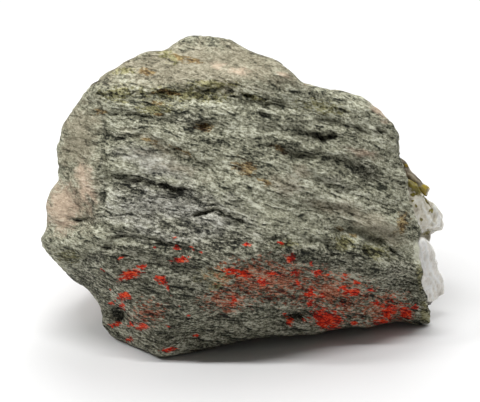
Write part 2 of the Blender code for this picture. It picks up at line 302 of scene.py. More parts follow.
@dataclass(frozen=True)
class Patch:
    """An oval place on the front: its middle, half its width and height, its tilt and its strength."""

    x: float
    height: float
    half_width: float
    half_height: float
    tilt: float = 0.0
    strength: float = 1.0

    def reach(self, seen: np.ndarray) -> np.ndarray:
        """How far out each place lies.

        Args:
            seen: Front-view places, one to a row.

        Returns:
            0 in the middle of the patch, 1 on its rim, and more outside.
        """
        turn = math.radians(self.tilt)
        x, height = seen[:, 0] - self.x, seen[:, 1] - self.height
        along = x * math.cos(turn) + height * math.sin(turn)
        across = height * math.cos(turn) - x * math.sin(turn)
        return np.hypot(along / self.half_width, across / self.half_height)

    def stain_and_shade(self, seen: np.ndarray) -> np.ndarray:
        """1 in the middle of a strong patch, 0.5 on its rim and 0 far outside. A weak patch has less."""
        return np.clip(1.0 - self.reach(seen) / 2.0 - (1.0 - self.strength) * 0.4, 0.0, 1.0)

    def dip(self, seen: np.ndarray) -> np.ndarray:
        """How deep the patch is as a pit, with strength as its depth."""
        return self.strength * np.exp(-(self.reach(seen) ** 3.2))


def patches(*rows: tuple[float, ...]) -> tuple[Patch, ...]:
    """A patch for each row, with the row's numbers in the order of a patch's fields."""
    return tuple(Patch(*row) for row in rows)


def strongest(places: tuple[Patch, ...], seen: np.ndarray) -> np.ndarray:
    """The stain of the strongest patch at each front-view place."""
    return np.max([patch.stain_and_shade(seen) for patch in places], axis=0)


# ===== Mesh work =====


def coordinates(mesh: bpy.types.Mesh) -> np.ndarray:
    """The places of a mesh's vertices in millimetres, one to a row.

    Args:
        mesh: The mesh to read.

    Returns:
        One row of (x, y, z) for each vertex.
    """
    flat = np.empty(len(mesh.vertices) * 3)
    mesh.vertices.foreach_get("co", flat)
    return flat.reshape(-1, 3) / MM


def place(mesh: bpy.types.Mesh, points: np.ndarray) -> None:
    """Moves a mesh's vertices to these places, in millimetres."""
    mesh.vertices.foreach_set("co", (points * MM).ravel())
    mesh.update()


def outward(mesh: bpy.types.Mesh) -> np.ndarray:
    """The way out of the surface at each vertex, one to a row.

    Args:
        mesh: The mesh to read.

    Returns:
        A unit vector for each vertex.
    """
    flat = np.empty(len(mesh.vertices) * 3)
    mesh.vertex_normals.foreach_get("vector", flat)
    return flat.reshape(-1, 3)


def mark(mesh: bpy.types.Mesh, name: str, values: np.ndarray) -> None:
    """Keeps one number for each vertex on a mesh, for its material to read."""
    layer = mesh.attributes.new(name, "FLOAT", "POINT")
    layer.data.foreach_set("value", values.astype(np.float32))


def apply_modifiers(piece: bpy.types.Object) -> None:
    """Replaces a piece's mesh with what its modifiers make of it.

    Args:
        piece: The piece to change.
    """
    graph = bpy.context.evaluated_depsgraph_get()
    graph.update()
    mesh = bpy.data.meshes.new_from_object(piece.evaluated_get(graph))
    piece.modifiers.clear()
    piece.data = mesh


@contextmanager
def editing(mesh: bpy.types.Mesh) -> Iterator[bmesh.types.BMesh]:
    """Opens a mesh for bmesh operators, and writes it back at the end.

    Args:
        mesh: The mesh to change.

    Yields:
        The mesh's bmesh.
    """
    shape = bmesh.new()
    shape.from_mesh(mesh)
    yield shape
    shape.to_mesh(mesh)
    shape.free()


def add_object(name: str, data: bpy.types.ID) -> bpy.types.Object:
    """Adds an object with this data to the scene.

    Args:
        name: The object's name.
        data: Its mesh, light or camera.

    Returns:
        The new object.
    """
    made = bpy.data.objects.new(name, data)
    bpy.context.scene.collection.objects.link(made)
    return made


def solid_copy(node: bpy.types.Object, name: str) -> bpy.types.Object:
    """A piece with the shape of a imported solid, its corners merged.

    Args:
        node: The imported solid.
        name: The piece's name.

    Returns:
        The new piece.
    """
    shape = bmesh.new()
    shape.from_mesh(node.data)
    bmesh.ops.remove_doubles(shape, verts=shape.verts, dist=SAME_CORNER * MM)
    mesh = bpy.data.meshes.new(name)
    shape.to_mesh(mesh)
    shape.free()
    return add_object(name, mesh)


def smooth_once(shape: bmesh.types.BMesh) -> None:
    """Moves every vertex half way to the middle of its neighbours.

    Args:
        shape: The bmesh to change.
    """
    bmesh.ops.smooth_vert(
        shape, verts=shape.verts, factor=0.5, use_axis_x=True, use_axis_y=True, use_axis_z=True
    )


def even_mesh(piece: bpy.types.Object, step: float, wear: int) -> None:
    """Gives a piece an even mesh, with its corners worn a little.

    Args:
        piece: The piece to change.
        step: The side of one face.
        wear: How many rounds of smoothing follow.
    """
    remesh = piece.modifiers.new("grain", "REMESH")
    remesh.mode = "VOXEL"
    remesh.voxel_size = step * MM
    apply_modifiers(piece)
    with editing(piece.data) as shape:
        for _ in range(wear):
            smooth_once(shape)


def refine_front(piece: bpy.types.Object, facing: float) -> None:
    """Splits the faces that look to the camera, so that they carry finer relief.

    Args:
        piece: The piece to change.
        facing: How squarely a face must look to the camera, from 0 to 1.
    """
    with editing(piece.data) as shape:
        shape.normal_update()
        near = [face for face in shape.faces if face.normal.dot(SIGHT.near) > facing]
        edges = sorted({edge for face in near for edge in face.edges}, key=lambda edge: edge.index)
        bmesh.ops.subdivide_edges(shape, edges=edges, cuts=1, use_grid_fill=True, smooth=0.0)
        bmesh.ops.triangulate(shape, faces=[face for face in shape.faces if len(face.verts) > 4])
        smooth_once(shape)


# ===== Shader building =====


class Tree:
    """A node tree under construction, of a material or of a group."""

    def __init__(self, tree: bpy.types.NodeTree) -> None:
        """Starts on an empty tree.

        Args:
            tree: The tree to fill.
        """
        self.tree = tree
        self.tree.nodes.clear()
        self.count = 0

    def node(self, kind: str, **settings: object) -> bpy.types.Node:
        """Adds a node.

        Args:
            kind: The node's type, without the ShaderNode in front.
            settings: Values of its own properties.

        Returns:
            The node.
        """
        made = self.tree.nodes.new(kind if kind.startswith("Node") else "ShaderNode" + kind)
        made.location = (self.count % 12 * 190.0, self.count // 12 * -260.0)
        self.count += 1
        for key, value in settings.items():
            setattr(made, key, value)
        return made

    def feed(self, socket: Socket, value: object) -> None:
        """Links a socket to another, or sets its value.

        Args:
            socket: The input to feed.
            value: A socket, or a value of the input's kind.
        """
        if isinstance(value, Socket):
            self.tree.links.new(value, socket)
        elif isinstance(value, tuple) and len(value) == 3 and socket.type == "RGBA":
            socket.default_value = (*value, 1.0)
        else:
            socket.default_value = value

    def math(self, operation: str, *values: object, clamp: bool = False) -> Socket:
        """Works out a number.

        Args:
            operation: What to do with the values.
            values: Numbers or sockets.
            clamp: Whether the result stays between 0 and 1.

        Returns:
            The result's socket.
        """
        made = self.node("Math", operation=operation, use_clamp=clamp)
        for socket, value in zip(made.inputs, values):
            self.feed(socket, value)
        return made.outputs[0]

    def vector(self, operation: str, *values: object, output: str = "Vector") -> Socket:
        """Works out a vector, or a number from vectors.

        Args:
            operation: What to do with the values.
            values: Vectors or sockets. For SCALE, the factor comes second.
            output: Which result to take.

        Returns:
            The result's socket.
        """
        made = self.node("VectorMath", operation=operation)
        if operation == "SCALE":
            self.feed(made.inputs[0], values[0])
            self.feed(made.inputs["Scale"], values[1])
        else:
            for socket, value in zip(made.inputs, values):
                self.feed(socket, value)
        return made.outputs[output]

    def noise(self, place_: object, scale: float, detail: float = 3.0, rough: float = 0.6) -> bpy.types.Node:
        """Adds smooth noise at a place.

        Args:
            place_: Where to read it.
            scale: How many waves there are to a unit.
            detail: How many finer layers it has.
            rough: How strong the finer layers are.

        Returns:
            The noise node.
        """
        made = self.node("TexNoise", noise_dimensions="3D")
        self.feed(made.inputs["Vector"], place_)
        for name, value in (("Scale", scale), ("Detail", detail), ("Roughness", rough)):
            self.feed(made.inputs[name], value)
        return made

    def turn(self, value: object, start: object, end: object) -> Socket:
        """An even turn from 0 at start to 1 at end.

        Args:
            value: The number to turn.
            start: Where the result leaves 0.
            end: Where it reaches 1.

        Returns:
            The result's socket.
        """
        made = self.node("MapRange", interpolation_type="SMOOTHSTEP")
        for socket, number in zip(made.inputs, (value, start, end, 0.0, 1.0)):
            self.feed(socket, number)
        return made.outputs[0]

    def sway(self, value: object, weight: object, total: object = 0.5, clamp: bool = False) -> Socket:
        """Adds to a total how far a value lies from 0.5, times a weight."""
        return self.math("MULTIPLY_ADD", self.math("SUBTRACT", value, 0.5), weight, total, clamp=clamp)

    def split(self, vector: object) -> list[Socket]:
        """The three parts of a vector.

        Args:
            vector: The vector's socket.

        Returns:
            The sockets of x, y and z.
        """
        made = self.node("SeparateXYZ")
        self.feed(made.inputs[0], vector)
        return list(made.outputs)

    def join(self, *parts: object) -> Socket:
        """A vector from its three parts.

        Args:
            parts: Numbers or sockets for x, y and z.

        Returns:
            The vector's socket.
        """
        made = self.node("CombineXYZ")
        for socket, part in zip(made.inputs, parts):
            self.feed(socket, part)
        return made.outputs[0]

    def in_millimetres(self, position: object) -> Socket:
        """A position in millimetres."""
        return self.vector("SCALE", position, 1.0 / MM)

    def mix(self, share: object, first: object, second: object) -> Socket:
        """Mixes two colours.

        Args:
            share: How much of the second there is.
            first: The first colour.
            second: The second colour.

        Returns:
            The mixed colour's socket.
        """
        made = self.node("Mix", data_type="RGBA")
        self.feed(made.inputs[0], share)
        self.feed(made.inputs[6], first)
        self.feed(made.inputs[7], second)
        return made.outputs[2]

    def attribute(self, name: str) -> Socket:
        """Reads a number that is kept on the mesh."""
        return self.node("Attribute", attribute_name=name).outputs["Fac"]

    def group(self, group: bpy.types.NodeTree, **values: object) -> bpy.types.Node:
        """Adds a node group.

        Args:
            group: The group.
            values: Its inputs, by name, with _ for a space.

        Returns:
            The group's node.
        """
        made = self.node("Group", node_tree=group)
        for name, value in values.items():
            self.feed(made.inputs[name.replace("_", " ")], value)
        return made


class Group(Tree):
    """A shader node group with named inputs and outputs, built once."""

    def __init__(self, name: str, inputs: dict[str, object], outputs: dict[str, str]) -> None:
        """Starts a group.

        Args:
            name: The group's name.
            inputs: For each input, its default. A number is a value, a tuple of three a colour,
                and None a vector.
            outputs: For each output, its socket type.
        """
        super().__init__(bpy.data.node_groups.new(name, "ShaderNodeTree"))
        for label, default in inputs.items():
            kind = "Vector" if default is None else "Color" if isinstance(default, tuple) else "Float"
            socket = self.tree.interface.new_socket(label, in_out="INPUT", socket_type="NodeSocket" + kind)
            if kind == "Float":
                socket.default_value = default
            elif kind == "Color":
                socket.default_value = (*default, 1.0)
        for label, kind in outputs.items():
            self.tree.interface.new_socket(label, in_out="OUTPUT", socket_type="NodeSocket" + kind)
        self.inputs = self.node("NodeGroupInput").outputs
        self.outputs = self.node("NodeGroupOutput").inputs


@dataclass(frozen=True)
class Tint:
    """The dark, middle and light grains of one kind of stone."""

    dark: Colour
    middle: Colour
    light: Colour


LEAVES_APART = 7.31


class Effects:
    """The effects that more than one finish uses, each a node group."""

    def __init__(self) -> None:
        """Builds every group."""
        self.bedding = self.make_bedding()
        self.streaks = self.make_streaks()
        self.leaves = self.make_leaves()
        self.speckle = self.make_speckle()
        self.ragged = self.make_ragged()
        self.tinted = self.make_tinted()

    def make_bedding(self) -> bpy.types.NodeTree:
        """Coordinates that run along the leaves of the rock, in waves to the millimetre.

        Returns:
            The group's tree.
        """
        group = Group(
            "along the bedding",
            {"Position": None, "Along": 0.2, "Across": 1.0, "Warp": 1.0},
            {"Vector": "Vector"},
        )
        place_ = group.in_millimetres(group.inputs["Position"])
        shift = group.vector("SUBTRACT", group.noise(place_, 0.16, 2.0).outputs["Color"], (0.5, 0.5, 0.5))
        place_ = group.vector("ADD", place_, group.vector("SCALE", shift, group.inputs["Warp"]))
        x, y, _ = group.split(place_)
        level = group.vector("DOT_PRODUCT", place_, BEDDING.across, output="Value")
        bow = group.math("MULTIPLY", group.math("MULTIPLY", x, x), BEDDING.bow)
        level = group.math("MULTIPLY", group.math("ADD", level, bow), group.inputs["Across"])
        sides = (group.math("MULTIPLY", side, group.inputs["Along"]) for side in (x, y))
        group.feed(group.outputs["Vector"], group.join(*sides, level))
        return group.tree

    def make_streaks(self) -> bpy.types.NodeTree:
        """Fine streaks along the leaves, with more contrast than plain noise.

        Returns:
            The group's tree.
        """
        group = Group(
            "streaks",
            {"Position": None, "Along": 0.2, "Across": 1.0, "Warp": 1.0, "Detail": 4.0, "Contrast": 2.5},
            {"Value": "Float"},
        )
        along = group.group(
            self.bedding,
            Position=group.inputs["Position"],
            Along=group.inputs["Along"],
            Across=group.inputs["Across"],
            Warp=group.inputs["Warp"],
        )
        wave = group.noise(along.outputs[0], 1.0, 4.0, 0.62)
        group.feed(wave.inputs["Detail"], group.inputs["Detail"])
        value = group.sway(wave.outputs["Fac"], group.inputs["Contrast"], clamp=True)
        group.feed(group.outputs["Value"], value)
        return group.tree

    def make_leaves(self) -> bpy.types.NodeTree:
        """Broken leaves of the bedding: each has its own height along its run, and shades the one below.

        Returns:
            The group's tree.
        """
        group = Group(
            "broken leaves",
            {"Position": None, "Thickness": 1.0, "Along": 0.16, "Warp": 2.0},
            {"Height": "Float", "Shade": "Float"},
        )
        along = group.group(
            self.bedding, Position=group.inputs["Position"], Along=group.inputs["Along"], Across=1.0, Warp=0.6
        ).outputs[0]
        x, y, level = group.split(along)
        bent = group.vector("MULTIPLY", along, (1.0, 1.0, 0.30))
        drift = group.noise(bent, 1.0, 1.5, 0.5).outputs["Fac"]
        layer = group.math("DIVIDE", level, group.inputs["Thickness"])
        layer = group.sway(drift, group.inputs["Warp"], layer)
        leaf = group.math("FLOOR", layer)
        part = group.math("FRACT", layer)
        apart = (group.math("MULTIPLY", group.math("ADD", leaf, i), LEAVES_APART) for i in (0.0, 1.0))
        here, above = (group.noise(group.join(x, y, z), 1.0, 3.0, 0.6).outputs["Fac"] for z in apart)
        rise = group.math("SUBTRACT", above, here)
        turn = group.turn(part, 0.84, 1.0)
        group.feed(group.outputs["Height"], group.math("MULTIPLY_ADD", rise, turn, here))
        under = group.math("MULTIPLY", group.turn(part, 0.35, 0.84), group.math("SUBTRACT", 1.0, turn))
        shade = group.math("MULTIPLY", group.math("MULTIPLY", rise, 5.0, clamp=True), under)
        group.feed(group.outputs["Shade"], shade)
        return group.tree

    def make_speckle(self) -> bpy.types.NodeTree:
        """Mineral grains: each grain lighter or darker than its neighbours.

        Returns:
            The group's tree.
        """
        group = Group(
            "mineral grains",
            {"Position": None, "Grains": 2.5, "Contrast": 1.0},
            {"Value": "Float"},
        )
        cells = group.noise(group.in_millimetres(group.inputs["Position"]), 1.0, 3.0, 0.75)
        group.feed(cells.inputs["Scale"], group.inputs["Grains"])
        away = group.math("SUBTRACT", cells.outputs["Fac"], 0.5)
        value = group.math("MULTIPLY", away, group.inputs["Contrast"])
        group.feed(group.outputs["Value"], group.math("MULTIPLY_ADD", value, 2.6, 0.5, clamp=True))
        return group.tree

    def make_ragged(self) -> bpy.types.NodeTree:
        """Turns a soft stain on the mesh into a mask with a ragged rim and gaps.

        Returns:
            The group's tree.
        """
        group = Group(
            "ragged stain",
            {"Field": 0.0, "Position": None, "Size": 1.2, "Ragged": 0.9, "Soft": 0.05},
            {"Mask": "Float"},
        )
        along = group.group(self.bedding, Position=group.inputs["Position"], Along=0.6, Across=1.3, Warp=0.6)
        noise = group.noise(along.outputs[0], 1.0, 4.0, 0.7)
        group.feed(noise.inputs["Scale"], group.inputs["Size"])
        level = group.sway(noise.outputs["Fac"], group.inputs["Ragged"], group.inputs["Field"])
        low = group.math("SUBTRACT", 0.5, group.inputs["Soft"])
        high = group.math("ADD", 0.5, group.inputs["Soft"])
        near = group.turn(group.inputs["Field"], 0.02, 0.22)
        group.feed(group.outputs["Mask"], group.math("MULTIPLY", group.turn(level, low, high), near))
        return group.tree

    def make_tinted(self) -> bpy.types.NodeTree:
        """A colour from dark to light, by how light a grain is.

        Returns:
            The group's tree.
        """
        group = Group(
            "tinted grain",
            {"Value": 0.5, "Dark": (0.0, 0.0, 0.0), "Middle": (0.5, 0.5, 0.5), "Light": (1.0, 1.0, 1.0)},
            {"Color": "Color"},
        )
        low = group.math("MULTIPLY", group.inputs["Value"], 2.0, clamp=True)
        high = group.math("MULTIPLY_ADD", group.inputs["Value"], 2.0, -1.0, clamp=True)
        colour = group.mix(low, group.inputs["Dark"], group.inputs["Middle"])
        group.feed(group.outputs["Color"], group.mix(high, colour, group.inputs["Light"]))
        return group.tree

    def tint(self, tree: Tree, tint: Tint, value: object) -> Socket:
        """The colour of grains of one kind, by how light each is.

        Args:
            tree: The material's tree.
            tint: The kind of grains.
            value: How light they are, from 0 to 1.

        Returns:
            The colour's socket.
        """
        return tree.group(
            self.tinted, Value=value, Dark=tint.dark, Middle=tint.middle, Light=tint.light
        ).outputs[0]


# ===== Finishes =====


class StainAndShade(Enum):
    """What is kept on the rock's mesh for its material: real colours, painted shade in hollows, seams, pits
    and on the downward-facing band, pale rock with painted highlights on ridges, and how calm the surface is.
    """

    RED = "red_crust"
    HAZE = "red_haze"
    PINK = "pink_spar"
    TAN = "tan_skin"
    OLIVE = "olive_film"
    RUST = "rust"
    PALE_AND_HIGHLIGHT = "pale_rock_and_ridge_highlight"
    SHADE_AND_DARK = "painted_shade_and_dark_rock"
    HOLLOW_SHADE = "painted_hollow_shade"
    CALM = "calmness"
    ASH = "ash_grey"


def new_material(name: str) -> tuple[bpy.types.Material, Tree, bpy.types.Node]:
    """An empty material with a Principled shader.

    Args:
        name: The material's name.

    Returns:
        The material, its tree and its shader node.
    """
    material = bpy.data.materials.new(name)
    material.use_nodes = True
    tree = Tree(material.node_tree)
    output = tree.node("OutputMaterial")
    shader = tree.node("BsdfPrincipled")
    tree.feed(output.inputs["Surface"], shader.outputs["BSDF"])
    return material, tree, shader


@dataclass(frozen=True)
class RockFinish:
    """Foliated grey-green rock, with its coloured patches and crusts, painted shade in its hollows and on its
    downward-facing band, and painted highlights on ridges.

    The weights say how strongly broad patches, thick leaves, thin leaves, fine streaks and single
    grains lighten or darken the rock, and the shades how dark the painted shadow under the lip of a leaf is.
    """

    name: str = "foliated rock"
    grey: Tint = Tint((0.022, 0.024, 0.016), (0.288, 0.284, 0.200), (0.66, 0.66, 0.53))
    ash: Tint = Tint((0.022, 0.022, 0.020), (0.282, 0.274, 0.236), (0.65, 0.64, 0.59))
    tan: Tint = Tint((0.044, 0.038, 0.024), (0.240, 0.214, 0.146), (0.47, 0.43, 0.33))
    pink: Tint = Tint((0.12, 0.080, 0.050), (0.50, 0.390, 0.285), (0.74, 0.64, 0.51))
    olive: Tint = Tint((0.014, 0.013, 0.004), (0.145, 0.134, 0.046), (0.37, 0.35, 0.17))
    rust: Tint = Tint((0.020, 0.009, 0.003), (0.175, 0.104, 0.034), (0.44, 0.33, 0.13))
    # Painted shade and darker rock share this dark tint.
    shade_and_dark: Tint = Tint((0.010, 0.011, 0.008), (0.126, 0.123, 0.086), (0.48, 0.47, 0.37))
    red: Tint = Tint((0.16, 0.004, 0.001), (0.72, 0.016, 0.001), (0.90, 0.10, 0.015))
    haze: Tint = Tint((0.080, 0.012, 0.005), (0.390, 0.090, 0.040), (0.62, 0.27, 0.15))
    weights: tuple[float, ...] = (0.26, 0.38, 0.42, 0.38, 0.36)
    contrast: float = 1.6
    shades: tuple[float, float] = (-0.40, -0.30)

    def material(self, effects: Effects) -> bpy.types.Material:
        """Makes the material.

        Args:
            effects: The shared node groups.

        Returns:
            The material.
        """
        material, tree, shader = new_material(self.name)
        position = tree.node("TexCoord").outputs["Object"]
        patches = tree.group(
            effects.streaks, Position=position, Along=0.10, Across=0.34, Warp=5.0, Detail=3.0, Contrast=2.4
        ).outputs[0]
        thick = tree.group(effects.leaves, Position=position, Thickness=1.35, Along=0.15, Warp=3.4)
        thin = tree.group(effects.leaves, Position=position, Thickness=0.62, Along=0.34, Warp=3.8)
        fine = tree.group(
            effects.streaks, Position=position, Along=0.75, Across=2.3, Warp=0.8, Detail=3.0, Contrast=3.2
        ).outputs[0]
        grains = tree.group(effects.speckle, Position=position, Grains=1.6, Contrast=1.2).outputs[0]
        value: object = 0.5
        sources = (patches, thick.outputs[0], thin.outputs[0], fine, grains)
        for source, weight in zip(sources, self.weights):
            value = tree.sway(source, weight * self.contrast, value)
        # Painted shadow under the lip of each leaf darkens the grain.
        for leaves, weight in zip((thick, thin), self.shades):
            value = tree.math("MULTIPLY_ADD", leaves.outputs["Shade"], weight, value)
        keep = tree.math("MULTIPLY_ADD", tree.attribute(StainAndShade.CALM.value), -0.45, 1.0)
        value = tree.sway(value, keep)
        # Pale rock and painted highlights on ridges and rims lighten the grain.
        value = tree.math("MULTIPLY_ADD", tree.attribute(StainAndShade.PALE_AND_HIGHLIGHT.value), 0.30, value)
        # Painted shade in the hollows: the deeper the surface lies, the darker the grain.
        low = tree.attribute(StainAndShade.HOLLOW_SHADE.value)
        value = tree.math("MULTIPLY_ADD", low, -0.25, value, clamp=True)
        colour = self.colours(tree, effects, position, value)
        tree.feed(shader.inputs["Base Color"], colour)
        normal = self.relief(tree, keep, thick.outputs[0], thin.outputs[0], fine, grains)
        tree.feed(shader.inputs["Normal"], normal)
        rough = tree.math("MULTIPLY_ADD", grains, -0.22, 0.88)
        tree.feed(shader.inputs["Roughness"], rough)
        shader.inputs["Specular IOR Level"].default_value = 0.2
        return material

    def colours(
        self, tree: Tree, effects: Effects, position: Socket, value: Socket
    ) -> Socket:
        """Lays the colour marks over the plain rock, painted shade and darker rock among them.

        Args:
            tree: The material's tree.
            effects: The shared node groups.
            position: Where the surface is.
            value: How light the grain is.

        Returns:
            The colour.
        """
        colour = effects.tint(tree, self.grey, value)
        # Each stain with its tint, grain size, raggedness, softness, cover and contrast
        layers = (
            (StainAndShade.ASH, self.ash, 0.35, 1.0, 0.30, 0.80, 1.0),
            (StainAndShade.TAN, self.tan, 0.35, 1.3, 0.25, 0.85, 1.0),
            (StainAndShade.PINK, self.pink, 0.6, 1.2, 0.28, 0.95, 0.6),
            # This layer is mostly painted shade: seams, pits, creases, the rock's underside and the
            # downward-facing band.
            (StainAndShade.SHADE_AND_DARK, self.shade_and_dark, 0.6, 1.2, 0.25, 0.90, 1.35),
            (StainAndShade.OLIVE, self.olive, 1.3, 2.4, 0.20, 0.85, 1.5),
            (StainAndShade.RUST, self.rust, 1.4, 2.6, 0.18, 0.85, 1.2),
            (StainAndShade.HAZE, self.haze, 1.3, 3.8, 0.12, 0.85, 1.3),
            (StainAndShade.RED, self.red, 1.3, 2.3, 0.15, 0.95, 1.4),
        )
        for stain_and_shade, tint, size, ragged, soft, cover, contrast in layers:
            mask = tree.group(
                effects.ragged,
                Field=tree.attribute(stain_and_shade.value),
                Position=position,
                Size=size,
                Ragged=ragged,
                Soft=soft,
            ).outputs[0]
            layer = effects.tint(tree, tint, tree.sway(value, contrast))
            colour = tree.mix(tree.math("MULTIPLY", mask, cover), colour, layer)
        return colour

    def relief(
        self,
        tree: Tree,
        keep: Socket,
        thick: Socket,
        thin: Socket,
        fine: Socket,
        grains: Socket,
    ) -> Socket:
        """The finest relief, under what the mesh carries.

        Args:
            tree: The material's tree.
            keep: How much of it is left, which is less where the surface is calm.
            thick: Leaves of about a millimetre.
            thin: Leaves of half of that.
            fine: Streaks on the leaves.
            grains: Single grains.

        Returns:
            The surface normal.
        """
        height: object = 0.0
        for source, weight in ((thick, 1.10), (thin, 0.55), (fine, 0.12), (grains, 0.12)):
            height = tree.math("MULTIPLY_ADD", source, weight, height)
        bump = tree.node("Bump")
        tree.feed(bump.inputs["Strength"], keep)
        bump.inputs["Distance"].default_value = 1.0 * MM
        tree.feed(bump.inputs["Height"], height)
        return bump.outputs[0]


@dataclass(frozen=True)
class MilkyFinish:
    """A milky crystal: cloudy white, with streaks along its cleavage, coloured cracks, painted shade under
    its overhangs and painted glints along its ridges.
    """

    name: str
    body: Tint
    stain_and_shade: Tint
    lean: float = -20.0
    stained_and_shaded: float = 0.42
    transmission: float = 0.12
    roughness: float = 0.2

    def material(self, effects: Effects) -> bpy.types.Material:
        """Makes the material.

        Args:
            effects: The shared node groups.

        Returns:
            The material.
        """
        material, tree, shader = new_material(self.name)
        position = tree.node("TexCoord").outputs["Object"]
        turned = tree.node("VectorRotate", rotation_type="Y_AXIS")
        tree.feed(turned.inputs["Vector"], position)
        turned.inputs["Angle"].default_value = math.radians(self.lean)
        along = tree.group(
            effects.streaks, Position=turned.outputs[0], Along=1.0, Across=0.10, Warp=0.9, Contrast=2.6
        ).outputs[0]
        cloud = tree.noise(tree.in_millimetres(position), 0.45, 4.0, 0.6).outputs["Fac"]
        grains = tree.group(effects.speckle, Position=position, Grains=1.6, Contrast=0.5).outputs[0]
        value: object = 0.5
        for source, weight in ((cloud, 1.6), (along, 0.60), (grains, 0.3)):
            value = tree.sway(source, weight, value)
        # Painted glints along the ridge rims lighten the colour.
        value = tree.math("MULTIPLY_ADD", tree.attribute("painted_ridge_glint"), 0.7, value, clamp=True)
        clean, stain_and_shade_colour = (effects.tint(tree, tint, value) for tint in (self.body, self.stain_and_shade))
        # The second tint covers coloured patches and painted shade under overhangs.
        field_ = tree.math("ADD", tree.attribute("stained_and_shaded"), self.stained_and_shaded - 0.5)
        mask = tree.group(
            effects.ragged, Field=field_, Position=position, Size=0.9, Ragged=1.1, Soft=0.08
        ).outputs[0]
        tree.feed(shader.inputs["Base Color"], tree.mix(mask, clean, stain_and_shade_colour))
        bump = tree.node("Bump")
        bump.inputs["Strength"].default_value = 0.6
        bump.inputs["Distance"].default_value = 0.35 * MM
        height = tree.math("MULTIPLY_ADD", along, 0.6, tree.math("MULTIPLY", grains, 0.25))
        tree.feed(bump.inputs["Height"], height)
        tree.feed(shader.inputs["Normal"], bump.outputs[0])
        shader.inputs["Roughness"].default_value = self.roughness
        shader.inputs["IOR"].default_value = 1.55
        shader.inputs["Transmission Weight"].default_value = self.transmission
        return material


@dataclass(frozen=True)
class FloorFinish:
    """A plain pale floor, which fades into the bright room far from the specimen."""

    name: str = "pale floor"
    low: Colour = (0.735, 0.735, 0.735)
    high: Colour = (0.775, 0.775, 0.775)
    fade: tuple[float, float] = (170.0, 330.0)

    def material(self, effects: Effects) -> bpy.types.Material:
        """Makes the material.

        Args:
            effects: The shared node groups; not used here.

        Returns:
            The material.
        """
        material, tree, shader = new_material(self.name)
        position = tree.node("TexCoord").outputs["Object"]
        cloud = tree.noise(position, 6.0, 2.0).outputs["Fac"]
        tree.feed(shader.inputs["Base Color"], tree.mix(cloud, self.low, self.high))
        away = tree.vector("LENGTH", tree.in_millimetres(position), output="Value")
        tree.feed(shader.inputs["Alpha"], tree.math("SUBTRACT", 1.0, tree.turn(away, *self.fade)))
        shader.inputs["Roughness"].default_value = 0.75
        shader.inputs["Specular IOR Level"].default_value = 0.1
        return material


# ===== The host rock =====


